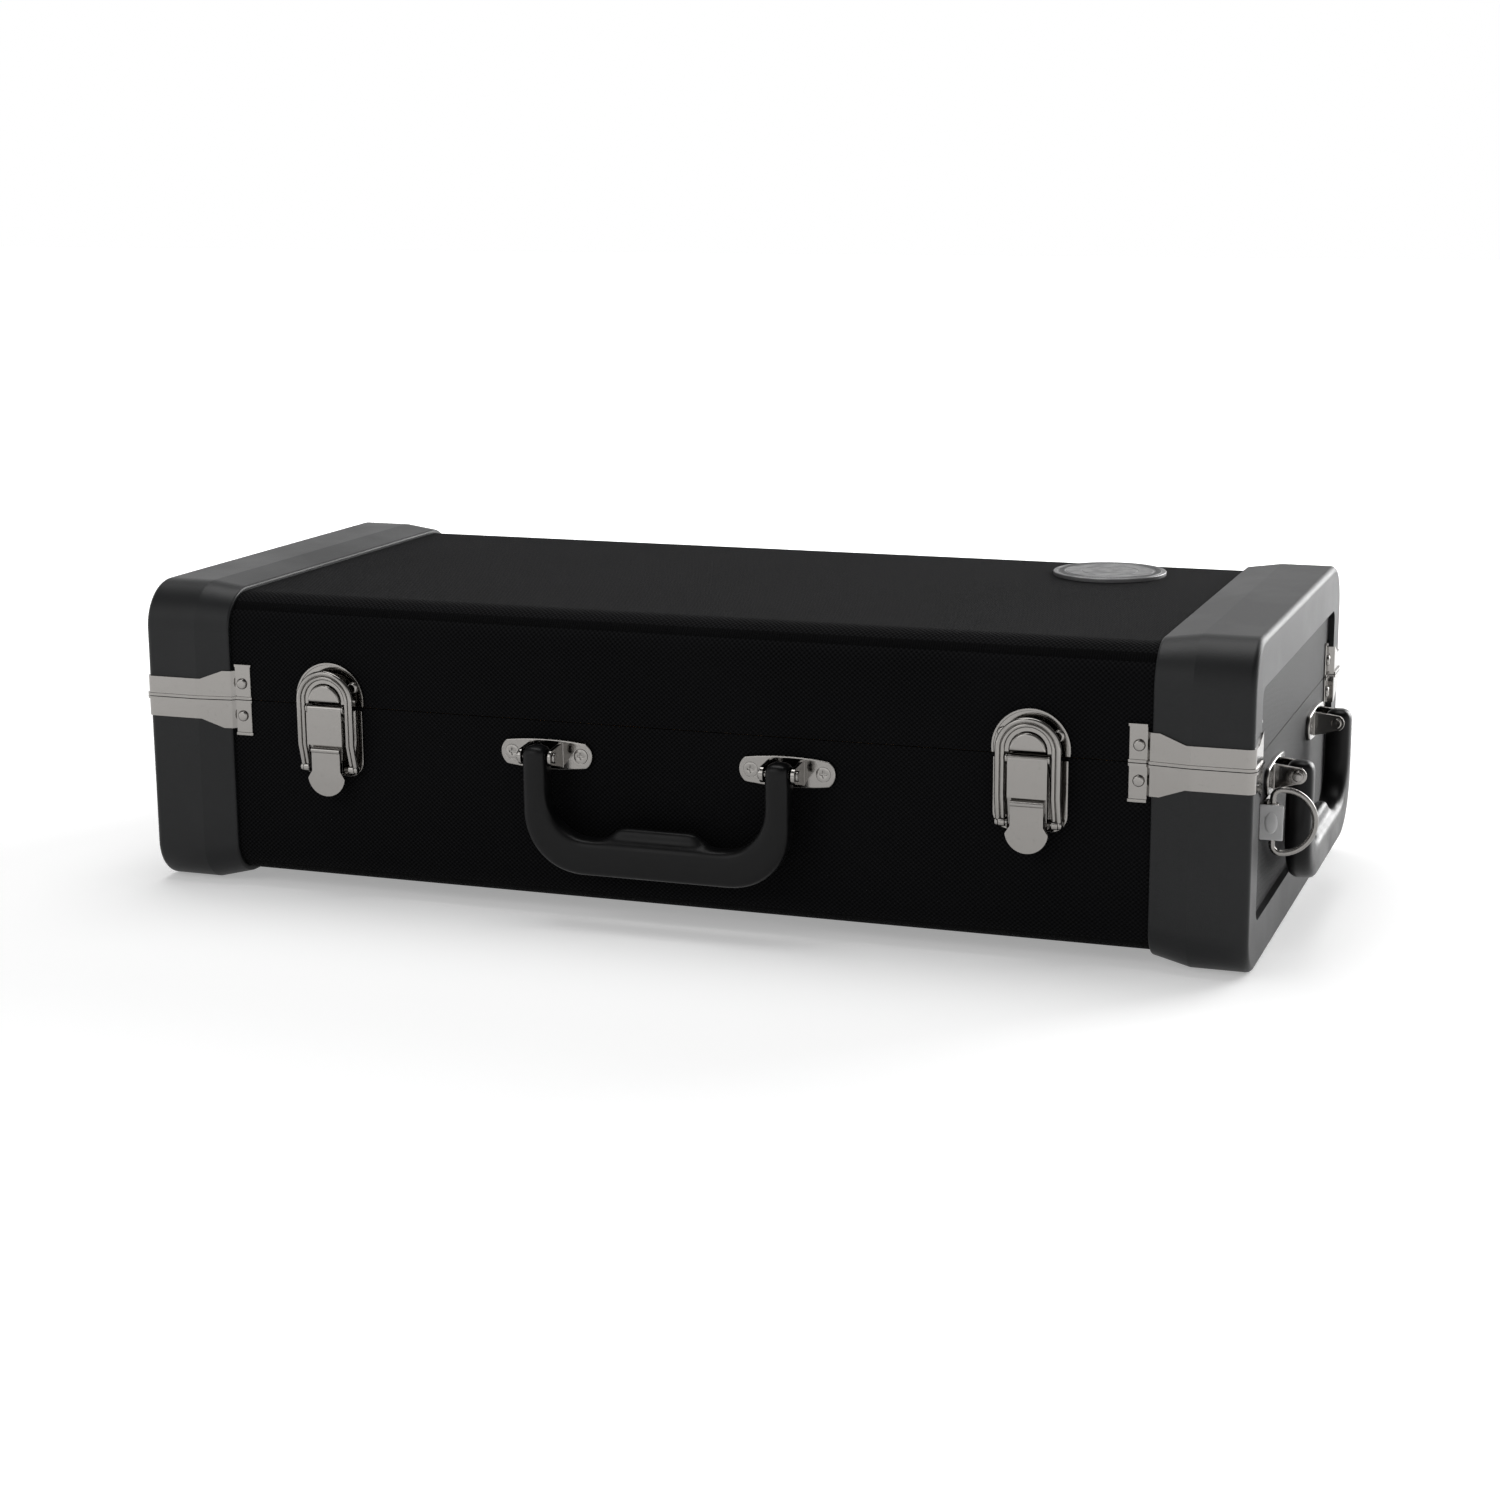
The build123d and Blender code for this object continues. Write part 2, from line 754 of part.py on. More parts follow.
def latch_hasp(x):
    """The arched frame that goes over the catch's nose, with a grooved face and an eye on each leg."""
    groove_middle = (hasp_outer + nose_radius + nose_clearance) / 2
    hasp_back_y = -skin_y - hasp_out
    hasp_front_y = hasp_back_y - hasp_sheet
    with BuildPart() as piece:
        with BuildSketch(face(hasp_back_y)):
            add(hasp_outline(x, hasp_outer, nose_radius + nose_clearance, hasp_bend))
        extrude(amount=hasp_sheet)
        for start in (x + hasp_inner, x - hasp_inner - hasp_eye_width):
            with BuildSketch(section(start)):
                with BuildLine():
                    Polyline(
                        (hasp_back_y, hasp_bend + hasp_sheet),
                        (hasp_front_y, hasp_bend + hasp_sheet),
                        (hasp_front_y, hasp_bend),
                        (hasp_pin_y - hasp_eye, hasp_pin_height),
                        (hasp_pin_y + hasp_eye, hasp_pin_height),
                        (hasp_back_y, hasp_bend),
                        close=True,
                    )
                make_face()
                with Locations((hasp_pin_y, hasp_pin_height)):
                    Circle(hasp_eye)
                    Circle(hasp_pin_radius + hole_clearance, mode=Mode.SUBTRACT)
            extrude(amount=hasp_eye_width)
        with BuildSketch(face(hasp_front_y)):
            add(hasp_outline(x, groove_middle + hasp_groove, groove_middle, hasp_bend))
        extrude(amount=-hasp_groove_depth, mode=Mode.SUBTRACT)
    return piece.part


def latch_catch(x):
    """Half-round plate on the lid with a raised rim and the nose that the hasp hooks over."""
    with BuildPart() as piece:
        with BuildSketch(front_wall):
            with Locations((x, nose_centre)):
                Circle(catch_radius)
            with Locations((x, catch_bottom - catch_radius)):
                Rectangle(2 * catch_radius, 2 * catch_radius, mode=Mode.SUBTRACT)
        extrude(amount=latch_sheet)
        with BuildSketch(front_wall):
            with Locations((x, nose_centre)):
                Circle(catch_radius)
                Circle(catch_radius - latch_rim, mode=Mode.SUBTRACT)
            with Locations((x, catch_bottom - catch_radius)):
                Rectangle(2 * catch_radius, 2 * catch_radius, mode=Mode.SUBTRACT)
        extrude(amount=latch_rim_height)
        with BuildSketch(front_wall):
            with Locations((x, nose_centre)):
                Circle(nose_radius)
            with Locations((x, nose_centre - nose_radius)):
                Rectangle(2 * nose_radius, 2 * nose_radius, mode=Mode.SUBTRACT)
        extrude(amount=nose_out)
        fillet(piece.faces().sort_by(Axis.Y)[0].edges(), nose_round)
        rivet_places = [(x + side * catch_rivet_side, catch_rivet_height) for side in (-1, 1)]
        add(holes(front_wall, rivet_places, rivet_shank), mode=Mode.SUBTRACT)
    return piece.part


latch_left_x, latch_right_x = latch_places
latch_left_base_plate = latch_base_plate(latch_left_x)
latch_right_base_plate = latch_base_plate(latch_right_x)
latch_lever_pins = together(latch_lever_pin(latch_left_x), latch_lever_pin(latch_right_x))
latch_left_lever = latch_lever(latch_left_x)
latch_right_lever = latch_lever(latch_right_x)
latch_left_hasp_pin = latch_hasp_pin(latch_left_x)
latch_right_hasp_pin = latch_hasp_pin(latch_right_x)
latch_left_hasp = latch_hasp(latch_left_x)
latch_right_hasp = latch_hasp(latch_right_x)
latch_left_catch = latch_catch(latch_left_x)
latch_right_catch = latch_catch(latch_right_x)
latch_plate_rivets = rivets(front_wall, latch_rivet_places, latch_sheet)
latch_catch_rivets = rivets(front_wall, catch_rivet_places, latch_sheet)


# ---------------------------------------------------------------- handles and their brackets

ear_middle = handle_arm / 2 + handle_side_clearance + bracket_ear_sheet / 2


def handle_bracket(plane, place):
    """Lens-shaped plate with two ears, fixed by two countersunk screws."""
    with BuildPart() as piece:
        with BuildSketch(plane):
            with Locations((place, bracket_height)):
                SlotOverall(bracket_length, bracket_width)
                Ellipse(bracket_bow, bracket_width / 2, mode=Mode.INTERSECT)
        extrude(amount=bracket_sheet)
        fillet(piece.faces().sort_by(Axis(plane.origin, plane.z_dir))[-1].edges(), bracket_round)
        for side in (-1, 1):
            with BuildSketch(across(plane, place + side * ear_middle)):
                with BuildLine():
                    Polyline(
                        (bracket_sheet / 2, bracket_height - bracket_ear_foot),
                        (bracket_sheet / 2, bracket_height + bracket_ear_foot),
                        (handle_pin_out, handle_pin_height + bracket_ear_radius),
                        (handle_pin_out, handle_pin_height - bracket_ear_radius),
                        close=True,
                    )
                make_face()
                with Locations((handle_pin_out, handle_pin_height)):
                    Circle(bracket_ear_radius)
                    Circle(handle_pin_radius + hole_clearance, mode=Mode.SUBTRACT)
            extrude(amount=bracket_ear_sheet / 2, both=True)
        screw_places = [(place + side * bracket_screw, bracket_height) for side in (-1, 1)]
        with BuildSketch(raised(plane, bracket_sheet)):
            with Locations(*screw_places):
                Circle(screw_head + hole_clearance)
        extrude(amount=-screw_head_depth, taper=45, mode=Mode.SUBTRACT)
        with BuildSketch(raised(plane, bracket_sheet)):
            with Locations(*screw_places):
                Circle(screw_shank + hole_clearance)
        extrude(amount=-2 * bracket_sheet, mode=Mode.SUBTRACT)
    return piece.part


def handle_pin(plane, place):
    """Pin through a bracket's ears and the handle's arm, with a domed head on each end."""
    half = ear_middle + bracket_ear_sheet / 2
    with BuildPart() as piece:
        with BuildSketch(across(plane, place)):
            with Locations((handle_pin_out, handle_pin_height)):
                Circle(handle_pin_radius)
        extrude(amount=half, both=True)
        for side in (-1, 1):
            with BuildSketch(across(plane, place + side * half)):
                with Locations((handle_pin_out, handle_pin_height)):
                    Circle(handle_pin_head)
            extrude(amount=-side * handle_pin_head_length)
        along = Axis(plane.origin, plane.x_dir)
        ends = [piece.faces().sort_by(along)[0], piece.faces().sort_by(along)[-1]]
        fillet([edge for end in ends for edge in end.edges()], handle_pin_head_round)
    return piece.part


def handle(plane, middle):
    """Moulded carrying handle: two arms, a grip and a raised palm rest on its inner side."""
    outer = handle_spacing / 2 + handle_arm / 2
    inner = outer - handle_arm
    top = handle_pin_height + handle_above_pin
    grip_top = handle_bottom + handle_grip
    with BuildPart() as piece:
        with BuildSketch(raised(plane, handle_pin_out - handle_thickness / 2)) as outline:
            with Locations((middle, (top + handle_bottom) / 2)):
                Rectangle(2 * outer, top - handle_bottom)
            fillet(outline.vertices().group_by(Axis.Y)[0], handle_outer_corner)
            with BuildSketch(mode=Mode.PRIVATE) as opening:
                with Locations((middle, top)):
                    Rectangle(2 * inner, 2 * (top - grip_top))
                fillet(opening.vertices().group_by(Axis.Y)[0], handle_inner_corner)
            add(opening.sketch, mode=Mode.SUBTRACT)
        extrude(amount=handle_thickness)
        fillet(piece.edges(), handle_round)
        half_palm = palm_length / 2
        with BuildSketch(raised(plane, handle_pin_out - handle_thickness / 2 + palm_set_in)):
            with BuildLine():
                Polyline(
                    (middle - half_palm, grip_top - handle_round),
                    (middle - half_palm, grip_top),
                    (middle - half_palm + palm_ramp, grip_top + palm_rise),
                    (middle + half_palm - palm_ramp, grip_top + palm_rise),
                    (middle + half_palm, grip_top),
                    (middle + half_palm, grip_top - handle_round),
                    close=True,
                )
            make_face()
        extrude(amount=palm_thickness)
        with BuildSketch(across(plane, middle)):
            with Locations((handle_pin_out, handle_pin_height)):
                Circle(handle_pin_radius + hole_clearance)
        extrude(amount=handle_spacing, both=True, mode=Mode.SUBTRACT)
    return piece.part


front_handle_bracket_left = handle_bracket(front_wall, bracket_places[0])
front_handle_bracket_right = handle_bracket(front_wall, bracket_places[1])
end_handle_bracket_front = handle_bracket(right_wall, end_handle_middle + bracket_places[0])
end_handle_bracket_back = handle_bracket(right_wall, end_handle_middle + bracket_places[1])
handle_screws = together(
    screws(front_wall, front_screw_places, bracket_sheet),
    screws(right_wall, end_screw_places, bracket_sheet),
)
front_handle_pins = together(*[handle_pin(front_wall, place) for place in bracket_places])
end_handle_pins = together(
    *[handle_pin(right_wall, end_handle_middle + place) for place in bracket_places]
)
front_handle = handle(front_wall, 0)
end_handle = handle(right_wall, end_handle_middle)


# ---------------------------------------------------------------- D-rings and their clips

def ring_clip():
    """Folded clip on the right end: a leaf under two rivets and a roll round the ring's bar."""
    low = ring_height - ring_clip_tall / 2
    with BuildPart() as piece:
        with BuildSketch(right_wall) as leaf:
            with Locations((ring_bar_y + ring_clip_leaf / 2, ring_height)):
                Rectangle(ring_clip_leaf, ring_clip_tall)
            fillet(leaf.vertices().group_by(Axis.X)[-1], ring_clip_corner)
        extrude(amount=ring_clip_sheet)
        with BuildSketch(level(low)):
            with Locations((skin_end + ring_bar_out, ring_bar_y)):
                Circle(ring_clip_roll)
            with Locations((skin_end + ring_bar_out / 2, ring_bar_y)):
                Rectangle(ring_bar_out, 2 * ring_clip_roll)
            with Locations((skin_end + ring_bar_out, ring_bar_y)):
                Circle(ring_wire + ring_clearance, mode=Mode.SUBTRACT)
        extrude(amount=ring_clip_tall)
        add(holes(right_wall, ring_rivet_places, rivet_shank), mode=Mode.SUBTRACT)
    return piece.part


def d_ring():
    """Wire ring with a straight bar, standing out from the right end and leaning back a little."""
    bow = ring_tall / 2 - ring_wire
    straight = ring_reach - ring_wire - bow
    lean = radians(ring_lean)
    ring_plane = Plane(
        (skin_end + ring_bar_out, middle_y + ring_bar_y, ring_height),
        x_dir=(cos(lean), sin(lean), 0),
        z_dir=(sin(lean), -cos(lean), 0),
    )
    with BuildPart() as piece:
        with BuildLine(ring_plane) as path:
            Line((0, -bow + ring_corner), (0, bow - ring_corner))
            RadiusArc((0, bow - ring_corner), (ring_corner, bow), ring_corner)
            Line((ring_corner, bow), (straight, bow))
            ThreePointArc((straight, bow), (straight + bow, 0), (straight, -bow))
            Line((straight, -bow), (ring_corner, -bow))
            RadiusArc((ring_corner, -bow), (0, -bow + ring_corner), ring_corner)
        with BuildSketch(Plane(path.line @ 0, z_dir=path.line % 0)):
            Circle(ring_wire)
        sweep()
    return piece.part


d_ring_clip_right = ring_clip()
d_ring_clip_left = other_side(d_ring_clip_right)
d_ring_right = d_ring()
d_ring_left = other_side(d_ring_right)
d_ring_rivets = together(
    rivets(right_wall, ring_rivet_places, ring_clip_sheet),
    rivets(left_wall, left_ring_rivet_places, ring_clip_sheet),
)


# ---------------------------------------------------------------- hinges

hinge_y = skin_y + hinge_axis_out
knuckle_pitch = hinge_width / hinge_knuckles


def hinge_leaf(x, up, first):
    """One leaf of a butt hinge: up is 1 on the lid and -1 on the base, first its first knuckle."""
    near = split_height + up * hinge_leaf_near
    wrap_out = hinge_knuckle * cos(radians(hinge_wrap))
    wrap_up = hinge_knuckle * sin(radians(hinge_wrap))
    with BuildPart() as piece:
        with BuildSketch(back_wall) as leaf:
            with Locations((-x, near + up * hinge_leaf_height / 2)):
                Rectangle(hinge_width, hinge_leaf_height)
            far_corners = leaf.vertices().sort_by(Axis.Y)[::-up][:2]
            fillet(far_corners, hinge_leaf_corner)
        extrude(amount=hinge_sheet)
        for knuckle in range(first, hinge_knuckles, 2):
            start = x - hinge_width / 2 + knuckle * knuckle_pitch + hinge_knuckle_gap / 2
            with BuildSketch(section(start)):
                with BuildLine():
                    Polyline(
                        (skin_y, near),
                        (skin_y, near + up * hinge_knuckle),
                        (skin_y + hinge_sheet, near + up * hinge_knuckle),
                        (hinge_y + wrap_out, split_height + up * wrap_up),
                        (hinge_y, split_height),
                        close=True,
                    )
                make_face()
                with Locations((hinge_y, split_height)):
                    Circle(hinge_knuckle)
                    Circle(hinge_pin_radius + hole_clearance, mode=Mode.SUBTRACT)
            extrude(amount=knuckle_pitch - hinge_knuckle_gap)
        rivet_places = [(-x + side * hinge_rivet_side, split_height + up * hinge_rivet_in)
                        for side in (-1, 1)]
        add(holes(back_wall, rivet_places, rivet_shank), mode=Mode.SUBTRACT)
    return piece.part


def hinge_pin(x):
    """Plain pin through all the knuckles of one hinge."""
    with BuildPart() as piece:
        with BuildSketch(section(x - hinge_width / 2)):
            with Locations((hinge_y, split_height)):
                Circle(hinge_pin_radius)
        extrude(amount=hinge_width)
    return piece.part


hinge_base_leaves = together(*[hinge_leaf(x, -1, 0) for x in hinge_places])
hinge_lid_leaves = together(*[hinge_leaf(x, 1, 1) for x in hinge_places])
hinge_pins = together(*[hinge_pin(x) for x in hinge_places])
hinge_base_rivets = rivets(back_wall, below(hinge_rivet_places), hinge_sheet)
hinge_lid_rivets = rivets(back_wall, above(hinge_rivet_places), hinge_sheet)


# ---------------------------------------------------------------- badge

with BuildPart() as badge:
    with BuildSketch(level(skin_high)):
        with Locations((badge_x, badge_y)):
            Circle(badge_radius)
    extrude(amount=badge_thickness)
    with BuildSketch(level(skin_high + badge_thickness)):
        with Locations((badge_x, badge_y)):
            Circle(badge_radius - badge_round)
            Circle(badge_radius - badge_rim, mode=Mode.SUBTRACT)
            Circle(badge_boss)
    extrude(amount=badge_rim_height)


# ---------------------------------------------------------------- inside the case

strip_y = room_y - tongue_strip_gap
strip_end = room_end - tongue_strip_gap
foam_y = strip_y - tongue_strip - foam_gap
foam_end = strip_end - tongue_strip - foam_gap
foam_bottom = room_low + floor_pad
bell_axis_y = foam_y - bell_from_back
bell_end = foam_end - end_block_long
bell_well = bell_end - bell_well_long
bell_mouth = bell_end - bell_rim_room
bell_start = bell_mouth - bell_long
bell_middle = bell_start + bell_curve
valve_front = front_block_deep - foam_y
body_back = foam_y - back_rail_deep
body_left = left_block_long - foam_end
box_left = box_end_gap - foam_end
box_right = box_left + box_long
box_front = -foam_y
box_back = box_front + box_deep
body_front = box_back + mouthpiece_block_deep
mouthpiece_places = (box_right - mouthpiece_in - mouthpiece_spacing, box_right - mouthpiece_in)

with BuildPart() as rim_tongue:
    with BuildSketch(level(split_height - tongue_strip_drop)):
        Rectangle(2 * strip_end, 2 * strip_y)
        Rectangle(2 * (strip_end - tongue_strip), 2 * (strip_y - tongue_strip), mode=Mode.SUBTRACT)
    extrude(amount=tongue_strip_drop + tongue_strip_rise)

def plan_box(left, right, front_edge, back_edge):
    """A rectangle in plan between four edges."""
    with BuildSketch(mode=Mode.PRIVATE) as outline:
        with Locations(((left + right) / 2, (front_edge + back_edge) / 2)):
            Rectangle(right - left, back_edge - front_edge)
    return outline.sketch


rim_well = plan_box(bell_well, bell_end, bell_axis_y - bell_radius, bell_axis_y + bell_radius)

with BuildPart() as floor_liner:
    with BuildSketch(level(room_low)):
        Rectangle(2 * (room_end - floor_pad_margin), 2 * (room_y - floor_pad_margin))
        add(rim_well, mode=Mode.SUBTRACT)
    extrude(amount=floor_pad)


def foam_block(outline):
    """A plush-covered block from the floor pad up to the foam's top."""
    with BuildPart() as piece:
        with BuildSketch(level(foam_bottom)):
            add(outline)
        extrude(amount=foam_top - foam_bottom)
    return piece.part


def bell_side(side, wall_edge):
    """Plan of the block beside the bell's flare: side is -1 in front of the bell and 1 behind it."""
    with BuildSketch(mode=Mode.PRIVATE) as outline:
        with BuildLine():
            ThreePointArc(
                (bell_start, bell_axis_y + side * bell_throat),
                (bell_middle, bell_axis_y + side * bell_middle_half),
                (bell_mouth, bell_axis_y + side * bell_radius),
            )
            Polyline(
                (bell_mouth, bell_axis_y + side * bell_radius),
                (bell_end - foam_gap, bell_axis_y + side * bell_radius),
                (bell_end - foam_gap, wall_edge),
                (bell_start, wall_edge),
                (bell_start, bell_axis_y + side * bell_throat),
            )
        make_face()
    return outline.sketch


liner_bell_front = foam_block(bell_side(-1, -foam_y))
liner_bell_back = foam_block(bell_side(1, foam_y))
liner_bell_end = foam_block(plan_box(bell_end, foam_end, -foam_y, foam_y))
liner_back_rail = foam_block(plan_box(-foam_end, -valve_half_length, body_back, foam_y))
liner_left_end = foam_block(plan_box(-foam_end, body_left, body_front, body_back - foam_gap))
liner_front_block = foam_block(
    plan_box(box_right + foam_gap, bell_start - foam_gap, -foam_y, valve_front)
)

with BuildPart() as mouthpiece_block:
    with BuildSketch(level(foam_bottom)):
        add(plan_box(-foam_end, box_right, box_back + foam_gap, body_front - foam_gap))
    extrude(amount=foam_top - foam_bottom)
    for radius, deep in ((mouthpiece_rim, mouthpiece_cup_depth), (mouthpiece_shank, mouthpiece_depth)):
        with BuildSketch(level(foam_top)):
            with Locations(*[(x, (box_back + body_front) / 2) for x in mouthpiece_places]):
                Circle(radius)
        extrude(amount=-deep, mode=Mode.SUBTRACT)

flap_bottom = flap_axis_height - flap_thickness / 2
flap_axis_y = box_back - box_wall - cloth_thickness - flap_back_gap - flap_thickness / 2

with BuildPart() as accessory_box:
    with BuildSketch(level(foam_bottom)):
        add(plan_box(box_left, box_right, box_front, box_back))
    extrude(amount=foam_top - foam_bottom)
    with BuildSketch(level(foam_bottom + box_wall)):
        add(plan_box(box_left + box_wall, box_right - box_wall, box_front + box_wall, box_back - box_wall))
    extrude(amount=foam_top - foam_bottom, mode=Mode.SUBTRACT)
    ledge_y = box_front + box_wall
    with BuildSketch(level(flap_bottom - flap_drop_gap)):
        add(plan_box(box_left + box_wall, box_right - box_wall, ledge_y - box_wall / 2, ledge_y + box_ledge))
    extrude(amount=-box_ledge_height)

with BuildPart() as flap_hinge_cloth:
    with BuildSketch(level(flap_bottom - flap_drop_gap)):
        add(plan_box(
            box_left + box_wall + flap_side_gap,
            box_right - box_wall - flap_side_gap,
            box_back - box_wall - cloth_thickness,
            box_back - box_wall,
        ))
    extrude(amount=-cloth_height)

with BuildPart() as accessory_flap:
    flap_left = box_left + box_wall + flap_side_gap
    flap_right = box_right - box_wall - flap_side_gap
    with BuildSketch(level(flap_bottom)):
        add(plan_box(flap_left, flap_right, ledge_y + flap_side_gap, flap_axis_y))
    extrude(amount=flap_thickness)
    with BuildSketch(section(flap_left)):
        with Locations((flap_axis_y, flap_axis_height)):
            Circle(flap_thickness / 2)
    extrude(amount=flap_right - flap_left)

with BuildPart() as flap_pull_ribbon:
    pull_front = ledge_y + flap_side_gap
    with BuildSketch(level(flap_bottom + flap_thickness)):
        with Locations(((flap_left + flap_right) / 2, pull_front + pull_thickness)):
            Rectangle(pull_width, pull_thickness)
    extrude(amount=pull_height)

with BuildPart() as lid_liner:
    pad_y = room_y - lid_pad_gap
    pad_end = room_end - lid_pad_gap
    pad_low = split_height + lid_pad_start
    with BuildSketch(level(pad_low)):
        Rectangle(2 * pad_end, 2 * pad_y)
    extrude(amount=room_high - pad_low)
    fillet(lid_liner.faces().sort_by(Axis.Z)[-1].edges().filter_by(Axis.X), lid_pad_round)
    with BuildSketch(level(pad_low)):
        Rectangle(2 * (pad_end - lid_side_pad), 2 * (pad_y - lid_side_pad))
    extrude(amount=room_high - lid_pad - pad_low, mode=Mode.SUBTRACT)
    with BuildSketch(level(pad_low)):
        add(rim_well)
    extrude(amount=height, mode=Mode.SUBTRACT)


# ---------------------------------------------------------------- write every piece

pieces = {
    "base_shell": base_shell,
    "base_covering": base_covering,
    "base_cap_left": base_cap_left,
    "base_cap_right": base_cap_right,
    "base_corner_clips": base_corner_clips,
    "base_clip_rivets": base_clip_rivets,
    "rim_tongue": rim_tongue.part,
    "floor_liner": floor_liner.part,
    "liner_bell_front": liner_bell_front,
    "liner_bell_back": liner_bell_back,
    "liner_bell_end": liner_bell_end,
    "liner_back_rail": liner_back_rail,
    "liner_left_end": liner_left_end,
    "liner_front_block": liner_front_block,
    "mouthpiece_block": mouthpiece_block.part,
    "accessory_box": accessory_box.part,
    "flap_hinge_cloth": flap_hinge_cloth.part,
    "accessory_flap": accessory_flap.part,
    "flap_pull_ribbon": flap_pull_ribbon.part,
    "latch_left_base_plate": latch_left_base_plate,
    "latch_right_base_plate": latch_right_base_plate,
    "latch_lever_pins": latch_lever_pins,
    "latch_plate_rivets": latch_plate_rivets,
    "latch_left_lever": latch_left_lever,
    "latch_right_lever": latch_right_lever,
    "latch_left_hasp_pin": latch_left_hasp_pin,
    "latch_right_hasp_pin": latch_right_hasp_pin,
    "latch_left_hasp": latch_left_hasp,
    "latch_right_hasp": latch_right_hasp,
    "latch_left_catch": latch_left_catch,
    "latch_right_catch": latch_right_catch,
    "latch_catch_rivets": latch_catch_rivets,
    "front_handle_bracket_left": front_handle_bracket_left,
    "front_handle_bracket_right": front_handle_bracket_right,
    "end_handle_bracket_front": end_handle_bracket_front,
    "end_handle_bracket_back": end_handle_bracket_back,
    "handle_screws": handle_screws,
    "front_handle_pins": front_handle_pins,
    "end_handle_pins": end_handle_pins,
    "front_handle": front_handle,
    "end_handle": end_handle,
    "d_ring_clip_right": d_ring_clip_right,
    "d_ring_clip_left": d_ring_clip_left,
    "d_ring_rivets": d_ring_rivets,
    "d_ring_right": d_ring_right,
    "d_ring_left": d_ring_left,
    "hinge_base_leaves": hinge_base_leaves,
    "hinge_base_rivets": hinge_base_rivets,
    "hinge_pins": hinge_pins,
    "hinge_lid_leaves": hinge_lid_leaves,
    "hinge_lid_rivets": hinge_lid_rivets,
    "lid_shell": lid_shell,
    "lid_covering": lid_covering,
    "lid_cap_left": lid_cap_left,
    "lid_cap_right": lid_cap_right,
    "lid_corner_clips": lid_corner_clips,
    "lid_clip_rivets": lid_clip_rivets,
    "lid_liner": lid_liner.part,
    "badge": badge.part,
}

os.makedirs("parts", exist_ok=True)
for name, part in pieces.items():
    part.label = name
    export_step(part, f"parts/{name}.step")
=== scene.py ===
import json
from math import cos, pi, radians, sin

import bmesh
import bpy
from bpy.props import FloatProperty, FloatVectorProperty, PointerProperty
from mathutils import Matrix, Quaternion, Vector


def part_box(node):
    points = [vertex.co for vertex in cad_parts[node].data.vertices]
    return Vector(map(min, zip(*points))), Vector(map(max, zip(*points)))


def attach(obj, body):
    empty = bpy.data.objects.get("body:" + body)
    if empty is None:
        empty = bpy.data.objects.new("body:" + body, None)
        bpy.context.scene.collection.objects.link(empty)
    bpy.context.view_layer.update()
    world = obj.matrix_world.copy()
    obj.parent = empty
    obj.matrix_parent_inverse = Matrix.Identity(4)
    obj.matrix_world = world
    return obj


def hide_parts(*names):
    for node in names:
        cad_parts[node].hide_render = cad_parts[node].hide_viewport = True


bl_info = {
    "name": "Trumpet case",
    "version": (1, 0, 0),
    "blender": (4, 5, 0),
    "location": "View3D > Sidebar > Case",
    "description": "Dresses a packed trumpet case: covering, caps, nickel fittings, handles, plush",
    "category": "Object",
}

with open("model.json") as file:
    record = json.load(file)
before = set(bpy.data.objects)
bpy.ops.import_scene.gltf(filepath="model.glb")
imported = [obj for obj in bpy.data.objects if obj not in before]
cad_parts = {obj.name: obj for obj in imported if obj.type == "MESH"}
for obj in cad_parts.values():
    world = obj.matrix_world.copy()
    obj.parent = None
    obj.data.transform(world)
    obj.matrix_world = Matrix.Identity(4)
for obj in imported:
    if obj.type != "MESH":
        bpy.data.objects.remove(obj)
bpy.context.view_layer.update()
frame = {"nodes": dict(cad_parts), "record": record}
NODES = frame["nodes"]
BODY_OF = {
    name: body for body, names in frame["record"]["behaviour"]["bodies"].items() for name in names
}
SLOT_OF = {part["node"]: part["material_slot"] for part in frame["record"]["subparts"]}


# ---------------------------------------------------------------- materials

def new_material(name, colour, roughness, **sockets):
    """A principled material with its fixed sockets set, and its node tree ready to add to."""
    material = bpy.data.materials.new(name)
    material.use_nodes = True
    nodes = material.node_tree.nodes
    shader = nodes["Principled BSDF"]
    shader.inputs["Base Color"].default_value = (*colour, 1)
    shader.inputs["Roughness"].default_value = roughness
    for socket, value in sockets.items():
        shader.inputs[socket.replace("_", " ")].default_value = value
    return material


def node(material, kind, inputs=None, **settings):
    """Adds one shader node, links or sets its inputs, and returns it."""
    made = material.node_tree.nodes.new("ShaderNode" + kind)
    for key, value in settings.items():
        setattr(made, key, value)
    for key, value in (inputs or {}).items():
        if isinstance(value, bpy.types.NodeSocket):
            material.node_tree.links.new(value, made.inputs[key])
        else:
            made.inputs[key].default_value = value
    return made


def object_place(material):
    """Object coordinates, in metres."""
    return node(material, "TexCoord").outputs["Object"]


def noise(material, place, scale, detail=3.0, roughness=0.5):
    """A noise value between 0 and 1."""
    made = node(material, "TexNoise", {
        "Vector": place, "Scale": scale, "Detail": detail, "Roughness": roughness,
    })
    return made.outputs["Fac"]


def mapped(material, value, low, high, to_low, to_high):
    """A value moved from one range to another, clamped."""
    return node(material, "MapRange", {
        "Value": value, "From Min": low, "From Max": high, "To Min": to_low, "To Max": to_high,
    }).outputs["Result"]


def blended(material, amount, first, second):
    """Two colours mixed by a value."""
    made = node(material, "Mix", data_type="RGBA")
    for socket, value in (("Factor_Float", amount), ("A_Color", first), ("B_Color", second)):
        place = next(s for s in made.inputs if s.identifier == socket)
        if isinstance(value, bpy.types.NodeSocket):
            material.node_tree.links.new(value, place)
        else:
            place.default_value = value if socket == "Factor_Float" else (*value, 1)
    return next(s for s in made.outputs if s.identifier == "Result_Color")


